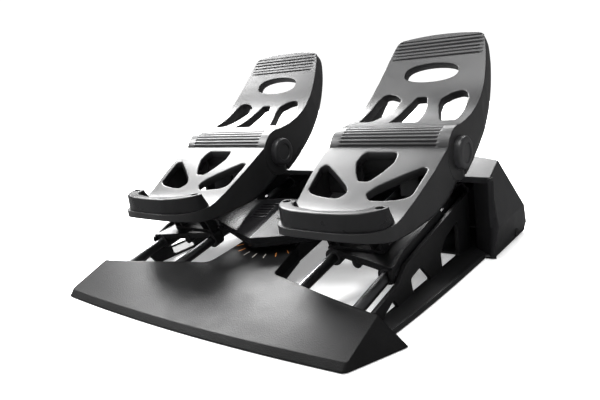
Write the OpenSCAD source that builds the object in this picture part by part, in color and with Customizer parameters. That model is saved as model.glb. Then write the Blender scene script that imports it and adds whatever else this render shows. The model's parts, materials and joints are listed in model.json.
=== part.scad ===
/* [Heel board] */
// Width of the heel board over its bottom corners
board_w = 425; // [410:1:440]
// Width of the heel board between its top corners
board_top_w = 376; // [366:1:386]
// Depth of the board in the middle
board_mid_depth = 100; // [94:1:102]
// Depth of the board at its ends
board_end_depth = 62; // [60:1:64]
// Sweep of the front edge from the middle to the ends
board_sweep = 8; // [4:1:12]
// Height of the rear edge in the middle
board_mid_h = 28.5; // [28:0.5:31]
// Height of the rear edge at the ends
board_end_h = 25.5; // [25:0.5:27]
// Height of the front lip
lip_h = 8; // [6:0.5:10]
// Lean of the front lip
lip_lean = 5.3; // [4:0.1:7]
// Wall of the heel board
board_wall = 3; // [2.4:0.2:3.4]

/* [Rails] */
// Diameter of the rails
rail_d = 11; // [10:0.5:11.5]
// Tilt of the rails from the floor, in degrees
rail_tilt = 11.3; // [11:0.1:11.6]
// Height of the rail plane under the front apex
rail_base_z = 3.5; // [3.2:0.1:3.8]
// Distance of the inner rails from the middle
rail_in_x = 89; // [88:0.5:90]
// Distance of the outer rails from the middle
rail_out_x = 160; // [158:0.5:161]
// Distance along the rails to their rear ends
rail_end_v = 330; // [326:1:334]

/* [Side frames] */
// Distance of the side webs from the middle
web_x = 170; // [170:0.5:172]
// Thickness of the side webs
web_t = 4; // [3:0.5:4]
// Height of the web's top edge over the rail axis
web_up = 6; // [5:0.5:7]
// Depth of the web's band under the rail axis
web_down = 11.5; // [10:0.5:12]
// Distance of the floor bar's outer edge from the middle
bar_x = 199; // [196:1:204]
// Thickness of the floor bar
bar_t = 3.5; // [3:0.5:4]
// Height of the rim along the floor bar
bar_rim = 2; // [1:0.5:3]

/* [Rear housing] */
// Distance of the rear housing's front from the front apex
housing_y = 267; // [266:1:268]
// Depth of the rear housing
housing_depth = 107; // [104:1:112]
// Width of the rear housing at its widest
housing_w = 430; // [424:1:436]
// Width of the rear housing's top
housing_top_w = 414; // [410:1:420]
// Height of the rear housing's top at the back
housing_h = 101; // [98:1:103]
// Drop of the top towards the front
housing_drop = 12; // [10:1:14]
// Height of the widest line
housing_belt_z = 38; // [30:1:46]
// Depth of the bow in the rear edge of the top
housing_bow = 38; // [30:1:42]
// Wall of the rear housing
housing_wall = 3.5; // [3:0.5:4.5]
// Half width of the open front bay
bay_half = 183; // [180:1:185]

/* [Centre spine] */
// Half width of the tongue at its front
tongue_half = 48; // [44:1:52]
// Half width of the spine behind the tongue
spine_half = 37.5; // [34:0.5:40]
// Height of the spine's top over the rail axis
spine_up = 3.2; // [2.6:0.2:3.6]
// Depth of the spine's side walls
spine_depth = 18; // [15:1:20]
// Wall of the spine
spine_wall = 3; // [2.4:0.2:3.4]

/* [Rocker] */
// Distance along the rails to the rocker pivot
pivot_v = 173; // [172:0.5:174]
// Radius of the pivot post
pivot_r = 6; // [5:0.5:8]
// Distance of the drive pins from the pivot
pin_reach = 95; // [94:0.5:96]
// Radius of the drive pins
pin_r = 3.5; // [3:0.25:4]
// Height of the rocker's underside over the rail axis
rocker_low = 12.5; // [12:0.25:13]
// Thickness of the rocker arm
rocker_t = 4.5; // [4:0.5:5]
// Distance of the rocker's apex in front of the pivot
rocker_nose = 46; // [42:1:48]
// Height of the hood over the arm at the apex
hood_rise = 7.6; // [6:0.2:9]
// Climb of the hood's ridge for each unit towards the back
hood_climb = 0.115; // [0.09:0.005:0.12]
// Fall of the hood for each unit away from the ridge
hood_fall = 0.095; // [0.09:0.005:0.11]
// Distance from the pivot to the hood's rear edge
hood_tail = 32; // [28:1:33]
// Wall of the hood
hood_wall = 2.2; // [1.8:0.2:2.6]
// Swing of the rocker each way, in degrees
rocker_swing = 25; // [20:1:25]

/* [Carriages] */
// Height of the carriage plate's top over the rail axis
deck_up = 11; // [10.5:0.25:11.25]
// Thickness of the carriage plate
deck_t = 4; // [3:0.5:4]
// Distance of the carriage's inner edge from the middle
deck_in_x = 84; // [83:0.5:85]
// Distance of the carriage's outer edge from the middle
deck_out_x = 168.5; // [168:0.25:168.75]
// Distance along the rails to the carriage's outer front corner
deck_front_v = 128; // [126:1:132]
// Distance that the inner front corner lies further back
deck_rake = 21; // [18:1:23]
// Distance along the rails to the carriage's rear edge
deck_rear_v = 246; // [244:1:248]
// Outer radius of the bush housings
boss_r = 9.5; // [9:0.25:9.75]
// Outer radius of the bushes
bush_r = 7.5; // [7:0.25:8]
// Depth of the outer skirt under the rail axis
skirt_down = 4; // [2:0.5:8]

/* [Pedals] */
// Distance between the middles of the two pedals
pedal_pitch = 235; // [234:0.5:237]
// Width of each pedal
pedal_w = 140; // [136:1:140]
// Distance of the hinge from the front apex
hinge_y = 243; // [242:0.5:244]
// Height of the hinge
hinge_z = 121; // [120:0.5:123]
// Radius of the ribbed barrel round the hinge
barrel_r = 28.5; // [27:0.5:29]
// Running gap round the barrel
barrel_gap = 0.6; // [0.4:0.1:1]
// Distance of the heel plate's front from the front apex
heel_y = 81; // [80:0.5:83]
// Height of the heel plate's front edge
heel_z = 83; // [82:0.5:85]
// Thickness of the heel plate and toe plate
plate_t = 4.2; // [3.6:0.2:4.6]
// Wall of the pedal skirts
skirt_t = 3; // [2.4:0.2:3.4]
// Reach of the toe plate's tip behind the hinge
toe_reach = 127; // [120:1:130]
// Rise of the toe plate's tip over the hinge
toe_rise = 119; // [114:1:124]
// Half width of the toe plate near its tip
tip_half = 59; // [56:0.5:62]
// Height of the heel stop's top
stop_z = 100; // [98:0.5:103]
// Radius of the hinge caps
cap_r = 17; // [15:0.5:19]
// Thickness of the hinge caps
cap_t = 8; // [6:0.5:9]
// Radius of the hinge shaft
shaft_r = 5; // [4:0.5:6]

/* [Hidden] */
$fn = 48;

// Clearances and the overrun of every cut
run_fit = 0.06;
set_fit = 0.03;
seat_gap = 0.3;
over = 2;
floor_gap = 1;

// Sizes worked out from the ones above
base_depth = housing_y + housing_depth;
board_half = board_w / 2;
board_top_half = board_top_w / 2;
rail_r = rail_d / 2;
pedal_half = pedal_w / 2;
pocket_r = barrel_r + barrel_gap;
deck_low = deck_up - deck_t;
spine_low = spine_up - spine_depth;
bar_top = floor_gap + bar_t;
cover_t = 3;
cover_top = floor_gap + cover_t;
hood_low = rocker_low + rocker_t;

// Curves of any degree through control points
function bez(p, t) =
    len(p) == 1 ? p[0] : bez([for (i = [0:len(p) - 2]) p[i] * (1 - t) + p[i + 1] * t], t);
function curve(p, n) = [for (i = [0:n]) bez(p, i / n)];
// A point at shares of the way from a to b
function between(a, b, s) = [a.x + (b.x - a.x) * s.x, a.y + (b.y - a.y) * s.y];
function arch(a, b, shares, n) = curve([a, for (s = shares) between(a, b, s), b], n);
function flip(p) = [for (i = [len(p) - 1:-1:0]) p[i]];
function across(p) = [for (q = flip(p)) [-q.x, q.y]];
function polar(r, a) = [r * cos(a), r * sin(a)];
function turn(v, a) = [v.x * cos(a) - v.y * sin(a), v.x * sin(a) + v.y * cos(a)];

// An outline with each corner drawn round
function soften(p, r, n = 4) = [
    for (i = [0:len(p) - 1])
        let (b = p[i], a = p[(i + len(p) - 1) % len(p)], c = p[(i + 1) % len(p)])
        let (t = min(r, norm(a - b) * 0.45, norm(c - b) * 0.45))
        let (u = (a - b) / norm(a - b) * t, v = (c - b) / norm(c - b) * t)
        each [for (k = [0:n]) bez([b + u, b, b + v], k / n)]
];
// The outward normal of the edge from a to b on an anticlockwise outline
function out(a, b) = [b.y - a.y, a.x - b.x] / norm(b - a);
function grow(p, d) = [
    for (i = [0:len(p) - 1])
        let (b = p[i], a = p[(i + len(p) - 1) % len(p)], c = p[(i + 1) % len(p)])
        let (m = out(a, b) + out(b, c))
        b + m * (2 * d / (m * m))
];

// A solid skinned over rings that run anticlockwise as seen from the last one
// Each end is closed by the faces whose ring points caps lists
module skin(rings, caps = []) {
    n = len(rings[0]);
    top = (len(rings) - 1) * n;
    ends = len(caps) > 0 ? caps : [[for (i = [0:n - 1]) i]];
    polyhedron(
        points = [for (r = rings) each r],
        faces = [
            each ends,
            for (c = ends) [for (i = flip(c)) top + i],
            for (k = [0:len(rings) - 2], i = [0:n - 1])
                let (a = k * n + i, b = k * n + (i + 1) % n)
                each [[a, b + n, b], [a, a + n, b + n]]
        ]);
}

// Frames: the whole object, the rail plane, one pedal and its hinge
module in_base() translate([0, -base_depth / 2, 0]) children();
module in_rails() in_base() translate([0, 0, rail_base_z]) rotate([rail_tilt, 0, 0]) children();
module in_pedal(side) in_base() translate([side * pedal_pitch / 2, 0, 0]) children();
module at_hinge() translate([0, hinge_y, hinge_z]) children();
module on_side(side) if (side < 0) mirror([1, 0, 0]) children(); else children();
module along_x(x0, x1) translate([x0, 0, 0]) rotate([90, 0, 90]) linear_extrude(x1 - x0) children();
module along_rail(x, v0, v1) translate([x, v1, 0]) rotate([90, 0, 0]) linear_extrude(v1 - v0) children();
function rail_z(y) = rail_base_z + y * tan(rail_tilt);
function rail_v(y, z) = y * cos(rail_tilt) + (z - rail_base_z) * sin(rail_tilt);

// Heel board: a wedge swept back towards both ends, open underneath
rear_line_shares = [[0, 1], [0.26, 0.95], [0.49, 0.59], [0.63, 0.39], [0.8, 0.19], [1, 0]];
end_shares = [[0.02, 0.02, 0], [0.45, 0.42, 0.02], [1, 1, 0.03]];
corner_slip = 2.6;
rail_grip = 11;
socket_r = 8.2;

function board_front(x) = board_sweep * (x / board_top_half) ^ 2;
function board_rear(x) =
    board_end_depth + (board_mid_depth - board_end_depth)
    * lookup(abs(x) / board_top_half, rear_line_shares);
function board_height(x) =
    board_mid_h - (board_mid_h - board_end_h) * (abs(x) / board_top_half) ^ 2;
function board_ring(x, wall, low) = [
    [x, board_rear(x) - wall, low],
    [x, board_rear(x) - wall, board_height(x) - wall * 1.05],
    [x, board_front(x) + lip_lean + wall, lip_h - wall * 0.6],
    [x, board_front(x) + wall, low]
];
function board_end(side) =
    let (near = [board_top_half, board_front(board_top_half)])
    let (far = [board_half, board_end_depth + corner_slip])
    let (foot = [for (s = end_shares) between(near, far, [s.x, s.y])])
    [
        [side * foot[2].x, foot[2].y, floor_gap],
        [side * foot[2].x, foot[2].y, floor_gap + end_shares[2].z * board_end_h],
        [side * foot[1].x, foot[1].y, floor_gap + end_shares[1].z * board_end_h],
        [side * foot[0].x, foot[0].y, floor_gap]
    ];
board_xs = [for (s = [-1, -0.8, -0.63, -0.49, -0.26, 0, 0.26, 0.49, 0.63, 0.8, 1]) s * board_top_half];
foot_r = 10;
foot_h = 3;
foot_front_x = 140;
foot_front_y = 38;
foot_rear_x = 195;
foot_rear_y = 320;

module board_solid() skin([
    board_end(-1),
    for (x = board_xs) board_ring(x, 0, floor_gap),
    board_end(1)
]);
module board_hollow() skin([
    for (x = board_xs) board_ring(x * 0.97, board_wall, floor_gap - over)
]);
module rail_socket_zone(x, r) {
    y = board_rear(x);
    v = rail_v(y, rail_z(y));
    translate([0, 0, rail_base_z]) rotate([rail_tilt, 0, 0])
        along_rail(x, v - rail_grip, v + over + rail_r) circle(r);
}
module heel_board() color("#2b2b2e") in_base() difference() {
    union() {
        difference() {
            board_solid();
            board_hollow();
        }
        intersection() {
            board_solid();
            union() {
                for (x = [-rail_out_x, -rail_in_x, rail_in_x, rail_out_x]) {
                    rail_socket_zone(x, socket_r);
                }
                for (x = [-2:2]) translate([x * rail_in_x * 0.7 - board_wall / 2, 0, floor_gap])
                    cube([board_wall, board_mid_depth, board_mid_h]);
                for (side = [-1, 1]) translate([side * foot_front_x, foot_front_y, foot_h])
                    cylinder(r = foot_r + board_wall, h = board_mid_h);
            }
        }
    }
    for (x = [-rail_out_x, -rail_in_x, rail_in_x, rail_out_x]) {
        rail_socket_zone(x, rail_r + set_fit);
    }
}

// Rubber feet set into the board and the rear housing
module foot(x, y) color("#161616") in_base() translate([x, y, 0]) cylinder(r = foot_r, h = foot_h);

// Rails: four plain tubes
rail_bore_r = 4;
module rail(x) color("#c9cbce") in_rails() {
    y = board_rear(x);
    v = rail_v(y, rail_z(y)) - rail_grip + seat_gap;
    along_rail(x, v, rail_end_v) difference() {
        circle(rail_r);
        circle(rail_bore_r);
    }
}

// Side frames: a web with two legs, and a floor bar with a rim
web_y0 = board_end_depth;
web_y1 = 290;
leg_1 = [[119.7, 112.4], [149.8, 146.4]];
leg_2 = [[188.5, 168.3], [215, 212.6]];
web_flare_y = 90;
bar_front_x = 191;
bar_curve_shares = [[0.5, 0.18], [0.95, 0.5]];
bar_rim_w = 2.2;
web_tail_y = 262;
web_step_y = [124, 140];
web_step_h = 9;

function under_band(y) = rail_z(y) - web_down / cos(rail_tilt);
function over_band(y) = rail_z(y) + web_up / cos(rail_tilt);
bar_edge = arch([bar_front_x, web_y0], [bar_x, housing_y - seat_gap], bar_curve_shares, 10);

module web_outline() difference() {
    polygon([
        [web_y0, floor_gap], [web_y0, over_band(web_y0) - web_step_h],
        [web_step_y[0], over_band(web_step_y[0]) - web_step_h], [web_step_y[1], over_band(web_step_y[1])],
        [web_y1, over_band(web_y1)], [web_y1, cover_top],
        [housing_y - seat_gap, cover_top], [housing_y - seat_gap, floor_gap]
    ]);
    polygon([
        [web_flare_y, bar_top], [leg_1[0][1], under_band(leg_1[0][1])], [leg_1[0][0], bar_top]
    ]);
    polygon(soften([
        [leg_1[1][0], bar_top], [leg_2[0][0], bar_top],
        [leg_2[0][1], under_band(leg_2[0][1])], [leg_1[1][1], under_band(leg_1[1][1])]
    ], web_t));
    polygon(soften([
        [leg_2[1][0], bar_top], [web_tail_y - web_t, bar_top],
        [web_tail_y - web_t, under_band(web_tail_y)], [leg_2[1][1] + web_t * 3, under_band(leg_2[1][1])],
        [leg_2[1][1], under_band(leg_2[1][1]) - web_down]
    ], web_t));
}
module side_frame(side) color("#26272a") in_base() difference() {
    on_side(side) union() {
        along_x(web_x, web_x + web_t) web_outline();
        translate([0, 0, floor_gap]) linear_extrude(bar_t) polygon([
            each bar_edge, [web_x, housing_y - seat_gap], [web_x, web_y0]
        ]);
        translate([0, 0, bar_top]) linear_extrude(bar_rim) polygon([
            each bar_edge, each [for (q = flip(bar_edge)) [q.x - bar_rim_w, q.y]]
        ]);
    }
    board_solid();
}

// Rear housing: ends lean out to a belt, and the top's rear edge bows forward at the ends
housing_low_z = 10;
housing_foot_in = 7;
housing_toe_in = 12;
housing_front_bow = 8;
housing_front_lean = 2;
station_shares = [-1, -0.93, -0.84, -0.7, -0.5, -0.25, 0, 0.25, 0.5, 0.7, 0.84, 0.93, 1];
flare_depth = 18;
flare_w = 22;
gland_y = 336;
gland_z = 9;
gland_r = 4.5;
gland_bore_r = 2.2;
gland_len = 9;
gland_out = 2;
rail_nest = 18;
nest_tail = 34;
housing_top_in = 36;

function top_back_y(x) =
    base_depth - housing_top_in - housing_bow * (x / (housing_top_w / 2)) ^ 4;
function back_y(x, z) =
    let (h = (z - housing_low_z) / (housing_h - housing_low_z))
    base_depth + (top_back_y(x) - base_depth) * max(h, 0);
function top_front_y(x) =
    housing_y + housing_front_lean + housing_front_bow * (1 - (x / (housing_top_w / 2)) ^ 2);
function end_x(z) = z < housing_belt_z
    ? housing_w / 2 - housing_foot_in * (housing_belt_z - z) / (housing_belt_z - floor_gap)
    : housing_w / 2 - (housing_w - housing_top_w) / 2 * (z - housing_belt_z)
        / (housing_h - housing_drop - housing_belt_z);
function housing_ring(s) =
    let (x = s * housing_top_w / 2)
    [
        for (q = [
            [housing_y, floor_gap],
            [base_depth - housing_toe_in, floor_gap],
            [base_depth, housing_low_z],
            [back_y(x, housing_belt_z), housing_belt_z],
            [top_back_y(x), housing_h],
            [top_front_y(x), housing_h - housing_drop],
            [housing_y, housing_belt_z]
        ]) [s * end_x(q[1]), q[0], q[1]]
    ];
module housing_solid() skin([for (s = station_shares) housing_ring(s)], [[0, 1, 2, 3, 6], [3, 4, 5, 6]]);
function bay_ring(x) =
    let (high = housing_h - housing_wall * 1.4)
    [
        [x, housing_y - over * 4, floor_gap - over],
        [x, base_depth - housing_toe_in - housing_wall * 2, floor_gap - over],
        [x, base_depth - housing_wall * 2, housing_low_z],
        [x, back_y(x, high) - housing_wall * 2, high],
        [x, top_front_y(x), high - housing_drop],
        [x, housing_y - over * 4, high - housing_drop]
    ];
module housing_bay() skin([for (s = station_shares) bay_ring(s * bay_half)]);
module rail_nests(r, tail) for (x = [-rail_out_x, -rail_in_x, rail_in_x, rail_out_x]) {
    translate([0, 0, rail_base_z]) rotate([rail_tilt, 0, 0])
        along_rail(x, rail_end_v - rail_nest, rail_end_v + tail) circle(r);
}
module rear_housing() color("#2e2f33") in_base() difference() {
    union() {
        difference() {
            housing_solid();
            housing_bay();
        }
        intersection() {
            housing_solid();
            rail_nests(socket_r, nest_tail);
        }
    }
    rail_nests(rail_r + set_fit, seat_gap);
    for (side = [-1, 1]) on_side(side) {
        translate([0, 0, bar_top]) linear_extrude(housing_h - housing_drop - bar_top - housing_wall * 2)
            polygon([
                [bay_half - over, housing_y + flare_depth], [bay_half, housing_y + flare_depth],
                [bay_half + flare_w, housing_y], [bay_half + flare_w, housing_y - over],
                [bay_half - over, housing_y - over]
            ]);
    }
    translate([0, gland_y, gland_z]) rotate([0, 90, 0]) cylinder(r = gland_r + set_fit, h = housing_w);
    for (side = [-1, 1]) translate([side * foot_rear_x, foot_rear_y, floor_gap - over])
        cylinder(r = foot_r + seat_gap, h = foot_h - floor_gap + over);
}
module cable_gland() color("#141414") in_base()
    translate([end_x(gland_z) + gland_out - gland_len, gland_y, gland_z]) rotate([0, 90, 0]) difference() {
        cylinder(r = gland_r, h = gland_len);
        translate([0, 0, -over]) cylinder(r = gland_bore_r, h = gland_len + 2 * over);
    }
module rear_cover() color("#202124") in_base() translate([seat_gap - bay_half, housing_y, floor_gap])
    cube([2 * (bay_half - seat_gap), housing_depth - housing_toe_in - 2 * housing_wall - seat_gap, cover_t]);

// Centre spine: a channel under the rocker whose front is the tongue
tongue_back_v = 154;
spine_tail_v = 300;
spine_front_v = 96;
hub_r = 16;
hub_top = 12.2;
spine_foot_v = 282;
function spine_plan(inset, v0, v1) =
    let (taper = (tongue_back_v - v0) / (tongue_back_v - spine_front_v))
    let (front_half = spine_half + (tongue_half - spine_half) * taper - inset)
    [
        [front_half, v0], [spine_half - inset, tongue_back_v],
        [spine_half - inset, v1], [inset - spine_half, v1],
        [inset - spine_half, tongue_back_v], [-front_half, v0]
    ];
module centre_spine() color("#232427") difference() {
    union() {
        in_rails() difference() {
            translate([0, 0, spine_low]) linear_extrude(spine_depth)
                polygon(spine_plan(0, spine_front_v, spine_tail_v));
            translate([0, 0, spine_low - over]) linear_extrude(spine_depth + over - spine_wall)
                polygon(spine_plan(spine_wall, spine_front_v + spine_wall * 4, spine_foot_v));
        }
        in_base() translate([0, 0, cover_top])
            linear_extrude(rail_z(spine_foot_v) + spine_low - cover_top + 2 * spine_wall)
            polygon([
                [-spine_half, spine_foot_v], [spine_half, spine_foot_v],
                [spine_half, spine_foot_v + spine_wall * 4], [-spine_half, spine_foot_v + spine_wall * 4]
            ]);
        in_rails() translate([0, pivot_v, spine_up - spine_wall])
            cylinder(r = hub_r, h = hub_top - spine_up + spine_wall);
    }
    in_base() board_solid();
    in_rails() translate([0, pivot_v, spine_low]) cylinder(r = pivot_r + set_fit, h = hub_top + spine_depth);
}
module spine_cover() color("#1d1e20") in_rails() translate([0, 0, spine_low])
    linear_extrude(spine_wall * 0.8)
    polygon(spine_plan(spine_wall + seat_gap, spine_front_v + spine_wall * 5, spine_foot_v - over));

// Inside the spine: the board and the rudder's sensor under the pivot
pcb_t = 1.6;
pcb_w = 44;
pcb_len = 58;
pcb_rise = 3;
sensor_r = 9;
sensor_h = 8;
module circuit_board() color("#1f5a3a") in_rails() {
    v = pivot_v + sensor_r * 2;
    w = spine_low + spine_wall * 0.8;
    translate([-pcb_w / 2, v, w + pcb_rise]) cube([pcb_w, pcb_len, pcb_t]);
    for (x = [-0.4, 0.4], y = [0.1, 0.9])
        translate([x * pcb_w, v + y * pcb_len, w]) cylinder(r = pcb_rise, h = pcb_rise);
}
module rudder_sensor() color("#30343a") in_rails()
    translate([0, pivot_v, spine_low + spine_wall * 0.8]) cylinder(r = sensor_r, h = sensor_h);
module pivot_post() color("#9fa3a8") in_rails() {
    low = spine_low + spine_wall * 0.8 + sensor_h;
    translate([0, pivot_v, low]) cylinder(r = pivot_r, h = hood_low + seat_gap + nut_t - low);
}

// Rocker: a swept arm on the post, with a pin near each end
arm_shares = [[0.95, 0.17], [1.07, 0.12], [1.07, -0.1], [0.93, -0.22], [0.28, -0.45]];
nut_r = 10;
nut_t = 4;
function rocker_plan() = let (half = [
        [0, -rocker_nose], for (s = arm_shares) [s.x * pin_reach, -s.y * rocker_nose]
    ])
    soften(concat(half, [for (i = [len(half) - 1:-1:1]) [-half[i].x, half[i].y]]), pin_r * 1.5);
module rocker_arm() color("#2a2b2e") in_rails() translate([0, pivot_v, rocker_low]) difference() {
    linear_extrude(rocker_t) polygon(rocker_plan());
    translate([0, 0, -over]) cylinder(r = pivot_r + run_fit, h = rocker_t + 2 * over);
    for (side = [-1, 1]) translate([side * pin_reach, 0, -over])
        cylinder(r = pin_r + set_fit, h = rocker_t + 2 * over);
}
module rocker_nut() color("#8d9095") in_rails() translate([0, pivot_v, hood_low + seat_gap]) difference() {
    cylinder(r = nut_r, h = nut_t, $fn = 6);
    translate([0, 0, -over]) cylinder(r = pivot_r + set_fit, h = nut_t + 2 * over);
}
module rocker_pin(side) color("#b9bcc0") in_rails()
    translate([side * pin_reach, pivot_v, deck_low - seat_gap])
    cylinder(r = pin_r, h = hood_low - deck_low + seat_gap);

// Hood: a low roof over the rocker, with louvres beside the ridge
hood_half_share = 0.96;
hood_side_share = -0.14;
slot_count = 6;
slot_pitch = 5.2;
slot_w = 2.2;
slot_len = 24;
slot_from_x = 9;
slot_from_v = -6;
function hood_ring(x, inset, low) =
    let (a = abs(x) / pin_reach)
    let (front = rocker_nose * (a - 1) + hood_side_share * rocker_nose * a + inset)
    let (back = hood_tail - inset)
    let (top = hood_low + hood_rise - hood_fall * abs(x) - inset)
    [
        [x, front, low], [x, back, low],
        [x, back, top + hood_climb * (back + rocker_nose)],
        [x, front, top + hood_climb * (front + rocker_nose)]
    ];
module rocker_hood() color("#303134") in_rails() translate([0, pivot_v, 0]) difference() {
    w = hood_half_share * pin_reach;
    skin([hood_ring(-w, 0, hood_low), hood_ring(0, 0, hood_low), hood_ring(w, 0, hood_low)]);
    skin([
        hood_ring(-w + hood_wall, hood_wall, hood_low - over),
        hood_ring(0, hood_wall, hood_low - over),
        hood_ring(w - hood_wall, hood_wall, hood_low - over)
    ]);
    for (side = [-1, 1], i = [0:slot_count - 1])
        translate([side * (slot_from_x + slot_len / 2), slot_from_v + i * slot_pitch, hood_low + hood_rise])
            cube([slot_len, slot_w, 4 * hood_rise], center = true);
}

// Carriages: a plate on four bushes, with a raked front lip and an outer skirt
boss_front_v = [130, 160];
boss_rear_v = [188, 242];
lip_down = 7.4;
ear_half_v = 13;
ear_reach = 8;
slot_gap = 0.8;
bumper_r = 5;
bumper_len = 14;
bumper_x_share = 0.45;
skirt_v = [124, 238];
skirt_up = 15;

function deck_front(x) =
    deck_front_v + deck_rake * (deck_out_x - x) / (deck_out_x - deck_in_x);
module deck_bosses(r, extra) for (x = [rail_in_x, rail_out_x], v = [boss_front_v, boss_rear_v])
    along_rail(x, max(v[0], deck_front(x)) - extra, v[1] + extra) circle(r);
module carriage(side) color("#28292c") in_rails() on_side(side) difference() {
    union() {
        translate([0, 0, deck_low]) linear_extrude(deck_t) polygon(soften([
            [deck_out_x, deck_front_v], [deck_out_x, deck_rear_v], [deck_in_x, deck_rear_v],
            [deck_in_x, pivot_v + ear_half_v], [deck_in_x - ear_reach, pivot_v + ear_half_v],
            [deck_in_x - ear_reach, pivot_v - ear_half_v], [deck_in_x, pivot_v - ear_half_v],
            [deck_in_x, deck_front_v + deck_rake]
        ], deck_t * 0.5));
        translate([0, 0, deck_up - lip_down]) linear_extrude(lip_down) polygon([
            [deck_out_x, deck_front_v], [deck_out_x, deck_front_v + deck_t],
            [deck_in_x, deck_front_v + deck_rake + deck_t], [deck_in_x, deck_front_v + deck_rake]
        ]);
        deck_bosses(boss_r, 0);
        along_x(deck_out_x - deck_t * 0.75, deck_out_x) polygon(soften([
            [skirt_v[0], skirt_up * 0.6], [skirt_v[0], -skirt_down], [skirt_v[1], -skirt_down],
            [skirt_v[1], skirt_up], [skirt_v[0] + skirt_up * 2, skirt_up]
        ], deck_t));
        x = deck_in_x + bumper_x_share * (deck_out_x - deck_in_x);
        along_rail(x, deck_front(x), deck_front(x) + bumper_len) translate([0, deck_low - bumper_r])
            union() {
                circle(bumper_r);
                translate([-bumper_r, 0]) square([2 * bumper_r, bumper_r]);
            }
    }
    deck_bosses(bush_r + set_fit, over);
    hull() for (x = [pin_reach * cos(rocker_swing) - slot_gap, pin_reach + slot_gap])
        translate([x, pivot_v, deck_low - over]) cylinder(r = pin_r + slot_gap, h = deck_t + 2 * over);
}
module bush(side, x, span) color("#e3ddc8") in_rails() on_side(side)
    along_rail(x, max(span[0], deck_front(x)), span[1]) difference() {
        circle(bush_r);
        circle(rail_r + run_fit);
    }

// Heel plate: a moulded plate with deep skirts and a hollow rear edge round the barrel
heel_curve_shares = [[0.444, -0.076], [0.343, 0.093]];
heel_seam_a = 159;
heel_tail_a = 250;
heel_low_shares = [
    [0, 0], [0.1, -0.09], [0.225, -0.183], [0.335, -0.204], [0.462, -0.199], [0.602, -0.134],
    [0.757, -0.078], [0.971, 0.15], [1.12, 0.42]
];
heel_rim_h = 7;
heel_plan_shares = [
    [0, 0], [0.4, 0.008], [0.62, 0.03], [0.76, 0.07], [0.84, 0.125], [0.875, 0.22], [0.896, 0.438],
    [0.917, 0.497], [0.951, 0.613], [0.986, 0.747], [1, 0.865]
];
heel_tri_shares = [
    [0.839, 0.804], [0.881, 0.782], [0.859, 0.646], [0.844, 0.563], [0.781, 0.536], [0.674, 0.517],
    [0.451, 0.501], [0.25, 0.497], [0.154, 0.553], [0.246, 0.614], [0.384, 0.667], [0.593, 0.743],
    [0.783, 0.807]
];
heel_mid_shares = [
    [0.21, 0.743], [0.31, 0.846], [0.29, 0.92], [0.25, 0.953], [-0.25, 0.953], [-0.29, 0.92], [-0.31, 0.846],
    [-0.21, 0.743], [-0.09, 0.66], [0.09, 0.66]
];
heel_drum = polar(pocket_r, heel_seam_a);
heel_run = hinge_y + heel_drum.x - heel_y;
heel_climb = hinge_z + heel_drum.y - heel_z;
heel_top = arch([heel_y, heel_z], [heel_y + heel_run, heel_z + heel_climb], heel_curve_shares, 14);
collar_t = 2.2;
collar_deep = 7;
lug_x = 45;
lug_t = 6;
lug_r = 11;
wall_y = 203;

function heel_pt(s) = [s.x * pedal_half, heel_y + s.y * heel_run];
function heel_low_pt(s) = [heel_y + s.x * heel_run, heel_z - heel_rim_h + s.y * heel_climb * 0.8];
function heel_tail() = [for (a = [heel_seam_a:7:heel_tail_a]) [hinge_y, hinge_z] + polar(pocket_r, a)];
module heel_plan(inset) {
    front = [for (s = heel_plan_shares) heel_pt(s)];
    half = concat(
        [for (q = front) [q.x - (q.x > 0 ? inset : 0), q.y + inset]],
        [[pedal_half - inset, hinge_y + pocket_r]]);
    polygon(concat(half, [for (i = [len(half) - 1:-1:1]) [-half[i].x, half[i].y]]));
}
module heel_body() intersection() {
    along_x(-pedal_half, pedal_half) polygon(concat(
        heel_top, heel_tail(), flip([for (s = heel_low_shares) heel_low_pt(s)])));
    translate([0, 0, floor_gap]) linear_extrude(hinge_z * 2) heel_plan(0);
}
function lowered(p, d) = [for (q = p) [q.x, q.y - d]];
module heel_space() intersection() {
    along_x(-pedal_half, pedal_half) polygon(concat(
        lowered(heel_top, plate_t), [[hinge_y + pocket_r, hinge_z], [hinge_y + pocket_r, 0], [heel_y, 0]]));
    translate([0, 0, -over]) linear_extrude(hinge_z * 2) heel_plan(skirt_t);
}
function heel_holes() = [
    soften(flip([for (s = heel_tri_shares) heel_pt(s)]), collar_t * 1.6),
    soften([for (s = heel_tri_shares) heel_pt([-s.x, s.y])], collar_t * 1.6),
    soften([for (s = heel_mid_shares) heel_pt(s)], collar_t * 1.6)
];
module heel_band(deep) along_x(-pedal_half, pedal_half)
    polygon(concat(heel_top, flip(lowered(heel_top, deep))));
module lug_side() union() {
    circle(lug_r);
    polygon([[-lug_r, 0], [wall_y - hinge_y, -lug_r * 0.8], [wall_y - hinge_y, -lug_r * 2.8], [0, -lug_r]]);
}
module heel_plate(side) color("#38393d") in_pedal(side) difference() {
    union() {
        difference() {
            heel_body();
            heel_space();
        }
        intersection() {
            heel_band(collar_deep);
            for (h = heel_holes()) linear_extrude(hinge_z * 2) polygon(grow(h, collar_t));
        }
        intersection() {
            heel_body();
            translate([-pedal_half, wall_y, 0]) cube([pedal_w, skirt_t, hinge_z * 2]);
        }
        for (s = [-1, 1]) translate([s * lug_x, 0, 0]) at_hinge()
            along_x(-lug_t / 2, lug_t / 2) lug_side();
    }
    for (h = heel_holes()) linear_extrude(hinge_z * 2) polygon(h);
    at_hinge() along_x(-pedal_w, pedal_w) circle(shaft_r + set_fit);
    for (s = [-1, 1]) translate([s * screw_x, screw_y, 0]) cylinder(r = screw_r + set_fit, h = stop_z);
}

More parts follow.
